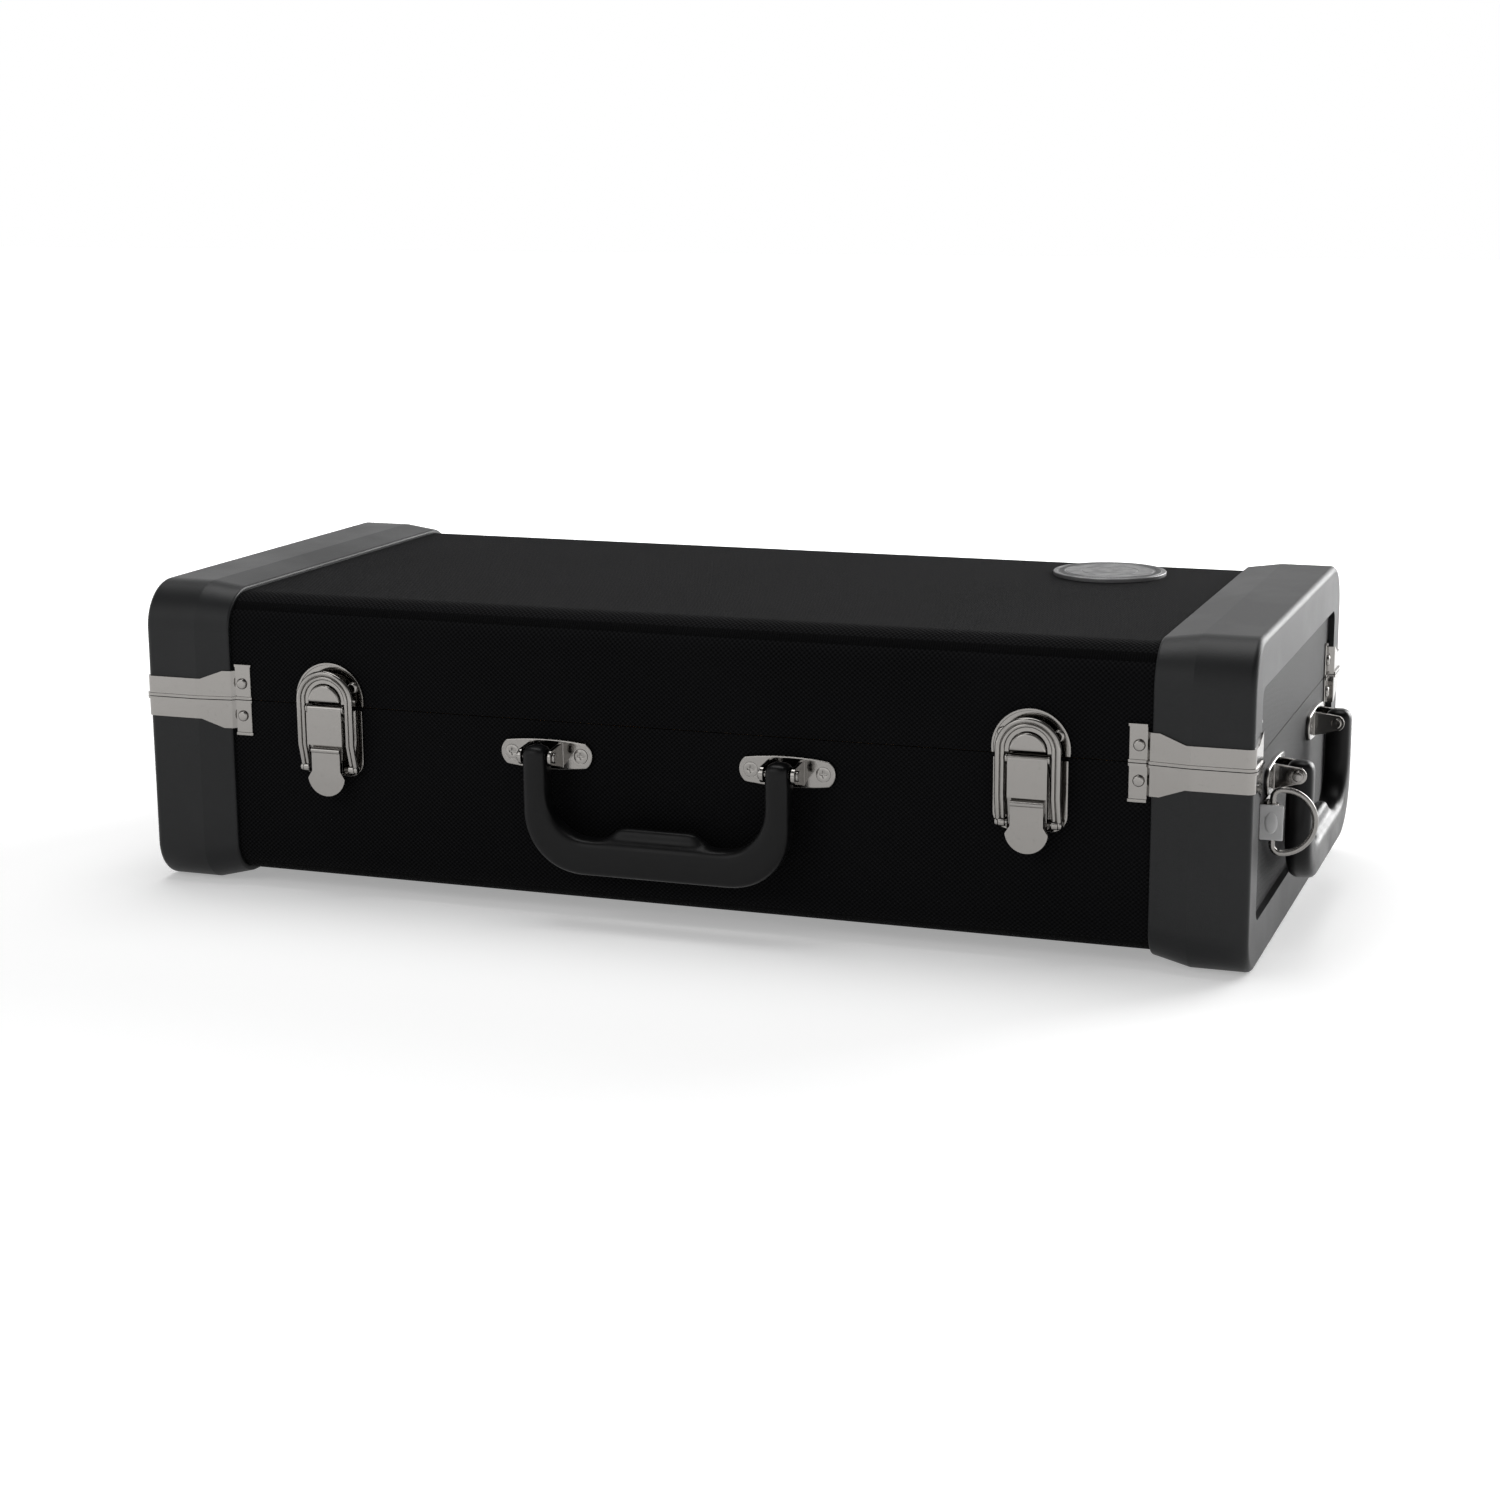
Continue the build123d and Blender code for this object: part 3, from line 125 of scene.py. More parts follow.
def sums(material, operation, *values):
    """One maths step on one, two or three values."""
    made = node(material, "Math", operation=operation)
    for place, value in enumerate(values):
        if isinstance(value, bpy.types.NodeSocket):
            material.node_tree.links.new(value, made.inputs[place])
        else:
            made.inputs[place].default_value = value
    return made.outputs["Value"]


def shade(colour, times):
    """A colour made darker or lighter."""
    return tuple(min(1, c * times) for c in colour)


def stretched_noise(material, place, stretch, scale, detail, roughness):
    """Noise drawn out along one axis."""
    vector = node(material, "Mapping", {"Vector": place, "Scale": stretch}).outputs[0]
    return noise(material, vector, scale, detail, roughness)


def to_shader(material, **links):
    """Links values into the principled shader."""
    shader = material.node_tree.nodes["Principled BSDF"]
    for socket, value in links.items():
        material.node_tree.links.new(value, shader.inputs[socket.replace("_", " ")])


def bump(material, height, distance, strength):
    """A bump normal from a height between 0 and 1 and its real depth in metres."""
    inputs = {"Height": height, "Distance": distance, "Strength": strength}
    return node(material, "Bump", inputs).outputs["Normal"]


# half the length over the covering's ends, and how far in the sheets of the end windows begin
COVERING_END = 0.277
WINDOW_SHEET = 0.002
WEAVE_SQUASH = 1.15
WEAVE_RELIEF = 0.00028


def covering_material(sizes):
    """Black woven covering: rows of small rounded knots with painted highlights on their tops and
    painted shade between them, and a tighter sheet in the end windows.
    """
    material = new_material("woven_covering", sizes.covering_colour, 0.62)
    place = object_place(material)
    normal = node(material, "TexCoord").outputs["Normal"]
    axes = node(material, "SeparateXYZ", {"Vector": place}).outputs
    facing = node(material, "SeparateXYZ", {"Vector": normal}).outputs
    # the weave runs round the case: along x on the long sides, along y on the ends
    on_end = mapped(material, sums(material, "ABSOLUTE", facing["X"]), 0.65, 0.75, 0, 1)
    on_side = mapped(material, sums(material, "ABSOLUTE", facing["Y"]), 0.6, 0.8, 0, 1)
    along = node(material, "Mix", {"Factor": on_end, "A": axes["X"], "B": axes["Y"]})
    across = node(material, "Mix", {"Factor": on_side, "A": axes["Y"], "B": axes["Z"]})
    end_across = node(material, "Mix", {"Factor": on_end, "A": across.outputs[0], "B": axes["Z"]})
    step = 2 * pi / sizes.weave_step
    rows = sums(material, "SINE", sums(material, "MULTIPLY", along.outputs[0], step))
    picks = sums(material, "SINE", sums(
        material, "MULTIPLY", end_across.outputs[0], step * WEAVE_SQUASH))
    checks = sums(material, "MULTIPLY", rows, picks)
    knots = mapped(material, checks, -0.75, 0.75, 0, 1)
    slubs = noise(material, place, 900, 2)
    height = sums(material, "MULTIPLY_ADD", slubs, 0.35, knots)
    patches = noise(material, place, 11, 3, 0.6)
    # painted highlight and painted shade: knot tops are painted lighter and the gaps between knots
    # darker; the lighter colour also tints random worn patches
    light = shade(sizes.covering_colour, 2.0)
    lit_and_shaded_knots = blended(material, knots, shade(sizes.covering_colour, 0.4), light)
    worn_and_knot_shaded = blended(material, mapped(material, patches, 0.35, 0.7, 0, 0.35), lit_and_shaded_knots, light)
    # the sheets in the end windows are stretched tighter, so they shine more
    sheet = mapped(
        material, sums(material, "ABSOLUTE", axes["X"]),
        COVERING_END - WINDOW_SHEET, COVERING_END - WINDOW_SHEET / 2, 0, 1,
    )
    tight = sums(material, "MULTIPLY", on_end, sheet)
    rough = sums(material, "SUBTRACT", mapped(material, knots, 0, 1, 0.9, 0.62),
                 sums(material, "MULTIPLY", tight, 0.2))
    to_shader(
        material, Base_Color=worn_and_knot_shaded, Roughness=rough,
        Specular_IOR_Level=mapped(material, tight, 0, 1, 0.034, 0.2),
        Normal=bump(material, height, WEAVE_RELIEF, 1.0),
    )
    return material


def cap_material(sizes):
    """Black moulded plastic with a fine leather-like grain, rubbed a little smoother in patches."""
    material = new_material("moulded_cap", sizes.cap_colour, 0.42, Specular_IOR_Level=0.26)
    place = object_place(material)
    cells = node(material, "TexVoronoi", {"Vector": place, "Scale": 1500.0}, feature="SMOOTH_F1")
    fine = noise(material, place, 3200, 2)
    height = sums(material, "MULTIPLY_ADD", fine, 0.5, cells.outputs["Distance"])
    rubbed = mapped(material, noise(material, place, 9, 4, 0.6), 0.4, 0.7, 0, 1)
    scuffs = mapped(material, noise(material, place, 260, 3, 0.7), 0.62, 0.75, 0, 1)
    rough = sums(material, "SUBTRACT", mapped(material, rubbed, 0, 1, 0.46, 0.37),
                 sums(material, "MULTIPLY", scuffs, 0.05))
    to_shader(
        material, Roughness=rough,
        Base_Color=blended(material, rubbed, sizes.cap_colour, shade(sizes.cap_colour, 1.35)),
        Normal=bump(material, height, 0.00006, 0.55),
    )
    return material


def nickel_material(name, colour, roughness):
    """Bright nickel plate: a mirror with faint polishing lines, slight waves and dull spots."""
    material = new_material(name, colour, roughness, Metallic=1.0)
    place = object_place(material)
    lines = stretched_noise(material, place, (1, 1, 0.06), 4200, 2, 0.6)
    waves = noise(material, place, 55, 2, 0.4)
    spots = mapped(material, noise(material, place, 420, 4, 0.7), 0.58, 0.75, 0, 1)
    brushed = mapped(material, lines, 0.3, 0.7, roughness * 0.7, roughness * 1.5)
    rough = sums(material, "ADD", brushed, sums(material, "MULTIPLY", spots, 0.1))
    tone = blended(material, mapped(material, spots, 0, 1, 0, 0.5), colour, shade(colour, 0.82))
    height = sums(material, "MULTIPLY_ADD", lines, 0.06, waves)
    to_shader(
        material, Base_Color=tone, Roughness=rough,
        Normal=bump(material, height, 0.00035, 0.5),
    )
    return material


def handle_material(sizes):
    """Satin black moulding of the handles."""
    material = new_material("handle_moulding", sizes.handle_colour, 0.36, Specular_IOR_Level=0.17)
    place = object_place(material)
    fine = noise(material, place, 1400, 3, 0.6)
    hands = mapped(material, noise(material, place, 30, 4, 0.6), 0.4, 0.65, 0, 1)
    scratches = stretched_noise(material, place, (0.1, 1, 1), 900, 4, 0.7)
    marks = mapped(material, scratches, 0.64, 0.72, 0, 0.06)
    rough = sums(material, "ADD", mapped(material, hands, 0, 1, 0.30, 0.42), marks)
    to_shader(
        material, Roughness=rough,
        Base_Color=blended(material, hands, sizes.handle_colour, shade(sizes.handle_colour, 1.3)),
        Normal=bump(material, fine, 0.00005, 0.5),
    )
    return material


def plush_material(name, colour):
    """Short pile: soft tufts that catch the light at their tips and lie in different ways."""
    material = new_material(name, colour, 0.9, Sheen_Weight=0.45, Sheen_Roughness=0.4,
                            Specular_IOR_Level=0.15)
    shader = material.node_tree.nodes["Principled BSDF"]
    shader.inputs["Sheen Tint"].default_value = (*[min(1, c * 2.5 + 0.1) for c in colour], 1)
    place = object_place(material)
    tufts = noise(material, place, 1700, 3, 0.7)
    strokes = mapped(material, noise(material, place, 22, 4, 0.65), 0.35, 0.68, 0, 1)
    pile = blended(material, mapped(material, tufts, 0.3, 0.7, 0, 1), shade(colour, 0.55), colour)
    brushed = sums(material, "MULTIPLY", strokes, 0.6)
    to_shader(
        material, Base_Color=blended(material, brushed, pile, shade(colour, 1.5)),
        Normal=bump(material, sums(material, "MULTIPLY_ADD", strokes, 0.5, tufts), 0.0006, 0.8),
    )
    return material


# half the room's length and depth inside the plywood, and the y of its middle
ROOM_END = 0.271
ROOM_SIDE = 0.1185
ROOM_MIDDLE = 0.0046
PAPER_ENDS = (0.0003, 0.0006)


def board_material(plush):
    """Plywood of the shell, bare at the rims; its inner faces are papered to match the lining."""
    material = new_material("plywood", (0.36, 0.23, 0.12), 0.7)
    place = object_place(material)
    axes = node(material, "SeparateXYZ", {"Vector": place}).outputs
    lined = sums(material, "MULTIPLY", *[
        mapped(material, sums(material, "ABSOLUTE", off_middle),
               half + PAPER_ENDS[0], half + PAPER_ENDS[1], 1, 0)
        for off_middle, half in (
            (axes["X"], ROOM_END), (sums(material, "SUBTRACT", axes["Y"], ROOM_MIDDLE), ROOM_SIDE))
    ])
    plies = node(material, "TexWave", {
        "Vector": place, "Scale": 260.0, "Distortion": 2.0, "Detail": 3.0, "Detail Scale": 8.0,
    }, bands_direction="Y")
    grain = stretched_noise(material, place, (0.08, 1, 1), 700, 4, 0.6)
    light = blended(material, plies.outputs["Fac"], (0.22, 0.12, 0.06), (0.50, 0.34, 0.19))
    wood = blended(material, grain, light, (0.42, 0.28, 0.15))
    nap = noise(material, place, 1700, 3, 0.7)
    paper = blended(material, nap, shade(plush, 0.55), plush)
    to_shader(
        material, Base_Color=blended(material, lined, wood, paper),
        Roughness=mapped(material, lined, 0, 1, 0.6, 0.95),
        Normal=bump(material, grain, 0.0002, 0.5),
    )
    return material


BADGE_GREY = (0.17, 0.17, 0.17)
# near-black painted shade put into the badge's tick recesses
TICK_SHADE_BLACK = (0.02, 0.02, 0.021)
TAB_GREY = (0.8, 0.8, 0.8)


def badge_material():
    """Satin metal of the badge, a little tarnished."""
    material = new_material("badge_metal", BADGE_GREY, 0.4, Metallic=1.0)
    place = object_place(material)
    fine = noise(material, place, 2600, 2, 0.6)
    tarnish = mapped(material, noise(material, place, 160, 4, 0.65), 0.4, 0.7, 0, 1)
    tone = blended(material, tarnish, BADGE_GREY, (0.13, 0.13, 0.135))
    to_shader(
        material, Base_Color=tone, Roughness=mapped(material, tarnish, 0, 1, 0.34, 0.48),
        Normal=bump(material, fine, 0.00002, 0.5),
    )
    return material


def tick_shade_material():
    """Painted shade for the badge's tick recesses: near black, with dust flecked over it at random.
    """
    material = new_material("badge_enamel", TICK_SHADE_BLACK, 0.35)
    place = object_place(material)
    dust = mapped(material, noise(material, place, 900, 4, 0.7), 0.45, 0.7, 0, 0.5)
    to_shader(
        material, Base_Color=blended(material, dust, TICK_SHADE_BLACK, (0.08, 0.08, 0.08)),
        Roughness=mapped(material, dust, 0, 1, 0.3, 0.7),
    )
    return material


def tab_material():
    """Matt light grey of the tabs on the D-rings' clips."""
    return new_material("ring_tab", TAB_GREY, 1.0, Specular_IOR_Level=0.0)


MATERIALS = {}


def make_materials(sizes):
    """Every finish on the case, once."""
    MATERIALS.update({
        "covering": covering_material(sizes),
        "cap": cap_material(sizes),
        "nickel": nickel_material("nickel_plate", sizes.nickel_colour, 0.09),
        "wire": nickel_material("ring_wire", shade(sizes.nickel_colour, 0.85), 0.2),
        "handle": handle_material(sizes),
        "plush": plush_material("plush", sizes.plush_colour),
        "ribbon": plush_material("ribbon", shade(sizes.plush_colour, 0.8)),
        "board": board_material(sizes.plush_colour),
        "badge": badge_material(),
        "enamel": tick_shade_material(),
        "tab": tab_material(),
    })


SLOT_FINISH = {
    "black_covering": "covering",
    "shell_board": "board",
    "cap_plastic": "cap",
    "nickel": "nickel",
    "handle_plastic": "handle",
    "badge_metal": "badge",
    "plush": "plush",
    "pull_ribbon": "ribbon",
}


WIRE_NODES = ("d_ring_right", "d_ring_left")


def dress_nodes():
    """Gives every CAD node the finish of its slot, and the D-rings that of their wire."""
    for node_name, slot in SLOT_OF.items():
        mesh = NODES[node_name].data
        mesh.materials.clear()
        mesh.materials.append(MATERIALS["wire" if node_name in WIRE_NODES else SLOT_FINISH[slot]])


# ---------------------------------------------------------------- shaping

MERGE_WITHIN = 0.000005


def alone(piece):
    """Object mode, with one piece selected and active."""
    if bpy.context.mode != "OBJECT":
        bpy.ops.object.mode_set(mode="OBJECT")
    bpy.ops.object.select_all(action="DESELECT")
    piece.select_set(True)
    bpy.context.view_layer.objects.active = piece


def begun(kind, name, **sizes):
    """A primitive at its size and place, in edit mode with nothing selected."""
    if bpy.context.mode != "OBJECT":
        bpy.ops.object.mode_set(mode="OBJECT")
    bpy.ops.object.select_all(action="DESELECT")
    getattr(bpy.ops.mesh, f"primitive_{kind}_add")(**sizes)
    piece = bpy.context.object
    piece.name = name
    bpy.ops.object.transform_apply(location=True, rotation=True, scale=True)
    bpy.ops.object.mode_set(mode="EDIT")
    bpy.ops.mesh.select_all(action="DESELECT")
    return piece


def picked(piece, kind, test):
    """Selects the faces or corners whose middle and normal pass a test."""
    bpy.ops.mesh.select_mode(type={"faces": "FACE", "verts": "VERT"}[kind])
    bpy.ops.mesh.select_all(action="DESELECT")
    shape = bmesh.from_edit_mesh(piece.data)
    for item in getattr(shape, kind):
        middle = item.calc_center_median() if kind == "faces" else item.co
        if test(middle, item.normal):
            item.select_set(True)
    shape.select_flush_mode()
    bmesh.update_edit_mesh(piece.data)


def pulled(*move):
    """Extrudes what is selected and moves it."""
    bpy.ops.mesh.extrude_region_move(TRANSFORM_OT_translate={"value": move})


def resized(about, *times):
    """Resizes a whole piece about a point."""
    bpy.ops.mesh.select_all(action="SELECT")
    bpy.ops.transform.resize(value=times, center_override=about)


def modified(piece, kind, **settings):
    """Adds one modifier and applies it."""
    alone(piece)
    modifier = piece.modifiers.new(kind.lower(), kind)
    for key, value in settings.items():
        setattr(modifier, key, value)
    bpy.ops.object.modifier_apply(modifier=modifier.name)


def rounded(piece, width, segments=2, angle=35):
    """Takes the sharp edges off a piece."""
    modified(piece, "BEVEL", width=width, segments=segments, limit_method="ANGLE",
             angle_limit=radians(angle), use_clamp_overlap=True, harden_normals=False)


def joined(name, *pieces):
    """Several pieces made one, under one name."""
    alone(pieces[0])
    for piece in pieces[1:]:
        piece.select_set(True)
    bpy.ops.object.join()
    pieces[0].name = name
    return pieces[0]


def faced_out(piece):
    """Merges doubles and turns every face outwards."""
    alone(piece)
    bpy.ops.object.mode_set(mode="EDIT")
    bpy.ops.mesh.select_all(action="SELECT")
    bpy.ops.mesh.remove_doubles(threshold=MERGE_WITHIN)
    bpy.ops.mesh.normals_make_consistent(inside=False)
    bpy.ops.object.mode_set(mode="OBJECT")


def finished(piece, finish, node_name, angle=40, flats=True):
    """Smooths a piece, gives it a finish (None keeps its own) and puts it in its node's place."""
    alone(piece)
    bpy.ops.object.shade_smooth_by_angle(angle=radians(angle))
    if flats:
        modified(piece, "WEIGHTED_NORMAL", keep_sharp=True)
    if finish:
        piece.data.materials.clear()
        piece.data.materials.append(MATERIALS[finish])
    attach(piece, BODY_OF[node_name])
    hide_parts(node_name)


def copied(name, source, flat=1.0):
    """A new piece from a CAD node's mesh, with its triangles merged into whole faces."""
    piece = bpy.data.objects.new(name, NODES[source].data.copy())
    bpy.context.scene.collection.objects.link(piece)
    alone(piece)
    bpy.ops.object.mode_set(mode="EDIT")
    bpy.ops.mesh.select_all(action="SELECT")
    bpy.ops.mesh.remove_doubles(threshold=MERGE_WITHIN)
    bpy.ops.mesh.dissolve_limited(angle_limit=radians(flat))
    bpy.ops.object.mode_set(mode="OBJECT")
    return piece


# ---------------------------------------------------------------- sizes and colours

class CaseFinish(bpy.types.PropertyGroup):
    """Colours and the weave's size."""

    covering_colour: FloatVectorProperty(
        name="Covering", description="Colour of the woven covering", subtype="COLOR",
        default=(0.0042, 0.0042, 0.0046), min=0, max=1)
    cap_colour: FloatVectorProperty(
        name="Caps", description="Colour of the moulded end caps", subtype="COLOR",
        default=(0.0078, 0.0083, 0.009), min=0, max=1)
    handle_colour: FloatVectorProperty(
        name="Handles", description="Colour of the handles", subtype="COLOR",
        default=(0.0042, 0.0042, 0.0045), min=0, max=1)
    nickel_colour: FloatVectorProperty(
        name="Nickel", description="Colour of the plated fittings", subtype="COLOR",
        default=(0.27, 0.26, 0.248), min=0, max=1)
    plush_colour: FloatVectorProperty(
        name="Plush", description="Colour of the lining", subtype="COLOR",
        default=(0.15, 0.008, 0.02), min=0, max=1)
    weave_step: FloatProperty(
        name="Weave step", description="Distance from one knot of the weave to the next",
        subtype="DISTANCE", default=0.0025, min=0.001)


class CaseStage(bpy.types.PropertyGroup):
    """The camera and its light."""

    lens: FloatProperty(name="Lens", description="Camera's focal length in millimetres",
                        default=66.289, min=1)
    azimuth: FloatProperty(name="Azimuth", description="Camera's turn round the case in degrees",
                           default=19.892)
    elevation: FloatProperty(name="Elevation", description="Camera's height angle in degrees",
                             default=12.587)
    roll: FloatProperty(name="Roll", description="Camera's tilt about its own axis in degrees",
                        default=-0.373)


# ---------------------------------------------------------------- operators

class CASE_OT_finishes(bpy.types.Operator):
    """Make every finish and give the CAD nodes theirs"""

    bl_idname = "case.finishes"
    bl_label = "Finishes"

    def execute(self, context):
        make_materials(context.scene.case_finish)
        dress_nodes()
        return {"FINISHED"}


SOFTENED = (
    # CAD node, its edges' rounding in metres, form
    ("latch_left_base_plate", 0.00035, "flat"),
    ("latch_right_base_plate", 0.00035, "flat"),
    ("latch_lever_pins", 0.0002, "round"),
    ("latch_plate_rivets", 0.0002, "round"),
    ("latch_catch_rivets", 0.0002, "round"),
    ("latch_left_hasp_pin", 0.0002, "round"),
    ("latch_right_hasp_pin", 0.0002, "round"),
    ("lid_clip_rivets", 0.0002, "round"),
    ("base_clip_rivets", 0.0002, "round"),
    ("front_handle_bracket_left", 0.0005, "flat"),
    ("front_handle_bracket_right", 0.0005, "flat"),
    ("end_handle_bracket_front", 0.0005, "flat"),
    ("end_handle_bracket_back", 0.0005, "flat"),
    ("handle_screws", 0.00015, "round"),
    ("front_handle_pins", 0.0002, "round"),
    ("end_handle_pins", 0.0002, "round"),
    ("d_ring_rivets", 0.0002, "round"),
    ("hinge_base_leaves", 0.0003, "flat"),
    ("hinge_lid_leaves", 0.0003, "flat"),
    ("hinge_base_rivets", 0.0002, "round"),
    ("hinge_lid_rivets", 0.0002, "round"),
    ("hinge_pins", 0.0002, "round"),
)


class CASE_OT_fittings(bpy.types.Operator):
    """Plated plates, pins, rivets and screws with rounded, light-catching edges"""

    bl_idname = "case.fittings"
    bl_label = "Small fittings"

    def execute(self, context):
        for source, edge, form in SOFTENED:
            piece = copied(source + "_plated", source)
            rounded(piece, edge, 3 if form == "round" else 2)
            finished(piece, "nickel", source, flats=form != "round")
        return {"FINISHED"}


ARCH_STEPS = 36
CLOSE = 0.0001


def arch(name, place, radius, bar, corners, drop, step_back, last_drop):
    """A bar bent to an arch on two legs, which lean back to the pin at their lower ends."""
    x, y, z = place
    foot = (x + radius, y, z)
    flat_to_flat = cos(pi / corners)
    piece = begun("circle", name, vertices=corners, radius=0.5, location=foot,
                  rotation=(0, 0, pi / corners))
    resized(foot, bar[0] / flat_to_flat, bar[1] / flat_to_flat, 1)
    bpy.ops.mesh.spin(steps=ARCH_STEPS, angle=pi, center=place, axis=(0, 1, 0))
    picked(piece, "verts", lambda at, normal: at.z < z + CLOSE / 10)
    pulled(0, 0, -drop)
    pulled(0, step_back, -last_drop)
    bpy.ops.mesh.select_all(action="SELECT")
    bpy.ops.mesh.fill_holes(sides=corners)
    faced_out(piece)
    return piece


# how far above its pin the hasp's legs bend back, and the legs' middle behind the hasp's front
HASP_BEND = 0.0125
HASP_BEND_SETBACK = 0.0012
HASP_BARS = (
    # name, its middle behind the hasp's front, its middle inside the hasp's edge, width and
    # thickness in metres, corners, whether it runs down to the pin
    ("outer_bead", 0.00125, 0.00125, (0.0025, 0.0025), 16, True),
    ("inner_bead", 0.0014, 0.0036, (0.0021, 0.0022), 16, True),
    ("hoop", 0.0019, 0.0036, (0.0056, 0.0008), 4, False),
    ("legs", 0.0017, 0.00235, (0.0036, 0.0012), 4, True),
)
# the hoop ends just below its half round: drop, step back, last drop
HOOP_FOOT = (0.0008, 0, 0.0001)
EYE_RADIUS = 0.0023
EYE_WIDE = 0.0032
EYE_INSIDE = 0.0031


def hasp(side):
    """The latch's frame: a flat hoop with two raised beads, and an eye at the foot of each leg."""
    node_name = f"latch_{side}_hasp"
    low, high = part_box(node_name)
    x = (low.x + high.x) / 2
    outer = (high.x - low.x) / 2
    centre = high.z - outer
    pin_low, pin_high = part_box(f"latch_{side}_hasp_pin")
    pin_y, pin_z = (pin_low.y + pin_high.y) / 2, (pin_low.z + pin_high.z) / 2
    to_pin = (centre - (pin_z + HASP_BEND), pin_y - (low.y + HASP_BEND_SETBACK), HASP_BEND)
    bars = [
        arch(name, (x, low.y + behind, centre), outer - inside, bar, corners,
             *(to_pin if runs_down else HOOP_FOOT))
        for name, behind, inside, bar, corners, runs_down in HASP_BARS
    ]
    eyes = []
    for end in (-1, 1):
        place = (x + end * (outer - EYE_INSIDE), pin_y, pin_z)
        eye = begun("cylinder", "eye", vertices=32, radius=EYE_RADIUS, depth=EYE_WIDE,
                    location=place, rotation=(0, pi / 2, 0))
        alone(eye)
        rounded(eye, 0.0005, 3)
        eyes.append(eye)
    piece = joined(f"latch_{side}_hoop", *bars, *eyes)
    finished(piece, "nickel", node_name)


# heights down from the lever's top and depths behind its front, on the CAD lever
PANEL_FOOT = 0.0211
WEB_BEHIND = 0.0013
PANEL_THICK = 0.003
# how the slot between panel and tongue is opened: raised at the top, sunk, its floor leaning out
SLOT_RAISE = 0.0009
SLOT_SINK = 0.0014
SLOT_LEAN = 0.0012


def lever(side):
    """The latch's lever: rolled top, flat panel, a dark slot and a lipped finger tongue."""
    node_name = f"latch_{side}_lever"
    piece = copied(f"latch_{side}_flap", node_name)
    low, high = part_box(node_name)
    panel_foot, web = high.z - PANEL_FOOT, low.y + WEB_BEHIND
    slot_top, slot_floor = panel_foot + SLOT_RAISE, web + SLOT_SINK
    bpy.ops.object.mode_set(mode="EDIT")
    picked(piece, "verts", lambda at, normal: (
        abs(at.z - panel_foot) < CLOSE and at.y < low.y + PANEL_THICK))
    bpy.ops.transform.translate(value=(0, 0, SLOT_RAISE))
    picked(piece, "faces", lambda at, normal: normal.y < -0.9 and abs(at.y - web) < CLOSE)
    pulled(0, SLOT_SINK, 0)
    picked(piece, "verts", lambda at, normal: (
        abs(at.z - slot_top) < CLOSE and abs(at.y - slot_floor) < CLOSE))
    bpy.ops.transform.translate(value=(0, -SLOT_LEAN, 0))
    bpy.ops.object.mode_set(mode="OBJECT")
    rounded(piece, 0.0005, 3, 30)
    finished(piece, "nickel", node_name)


def catch(side):
    """The catch's rimmed half-round plate and its rounded nose."""
    node_name = f"latch_{side}_catch"
    piece = copied(f"latch_{side}_keeper", node_name)
    rounded(piece, 0.0006, 4, 30)
    finished(piece, "nickel", node_name)


class CASE_OT_latches(bpy.types.Operator):
    """Both draw latches: hoops, levers and catches"""

    bl_idname = "case.latches"
    bl_label = "Latches"

    def execute(self, context):
        for side in ("left", "right"):
            hasp(side)
            lever(side)
            catch(side)
        return {"FINISHED"}


BEAD_TALL = 0.0013
BEAD_PROUD = 0.0007
# only beyond this x do the clips have faces that look along x
CORNER_FROM = 0.27


def beaded_clips(name, node_name, up):
    """Corner clips with a rolled bead along the split and along the top of each ear."""
    piece = copied(name, node_name, 0.5)
    low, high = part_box(node_name)
    rim, tip = (low.z, high.z) if up > 0 else (high.z, low.z)

    def outward(at, normal):
        off_end = normal.x * (1 if at.x > 0 else -1) * (abs(at.x) > CORNER_FROM)
        off_side = normal.y * (1 if at.y > 0 else -1)
        return abs(normal.z) < 0.2 and off_end + off_side > 0.15

    bpy.ops.object.mode_set(mode="EDIT")
    for height in (rim + up * BEAD_TALL, tip - up * BEAD_TALL):
        bpy.ops.mesh.select_all(action="SELECT")
        bpy.ops.mesh.bisect(plane_co=(0, 0, height), plane_no=(0, 0, 1))
    picked(piece, "faces", lambda at, normal: outward(at, normal) and (
        abs(at.z - rim) < BEAD_TALL or abs(at.z - tip) < BEAD_TALL))
    bpy.ops.mesh.extrude_region_shrink_fatten(TRANSFORM_OT_shrink_fatten={"value": BEAD_PROUD})
    bpy.ops.object.mode_set(mode="OBJECT")
    rounded(piece, 0.0006, 3, 30)
    finished(piece, "nickel", node_name)


class CASE_OT_clips(bpy.types.Operator):
    """Corner clips over the caps, on both halves"""

    bl_idname = "case.clips"
    bl_label = "Corner clips"

    def execute(self, context):
        beaded_clips("lid_clips_beaded", "lid_corner_clips", 1)
        beaded_clips("base_clips_beaded", "base_corner_clips", -1)
        return {"FINISHED"}


TAB_WIDE = 0.0108
TAB_SHEET = 0.0011
# how far off the wall the tab stands, and how much shorter than the roll it is
TAB_GAP = 0.0001
TAB_SHORT = 0.0006
OVAL_PROUD = 0.0009
OVAL_WIDE = 0.27
OVAL_TALL = 0.3


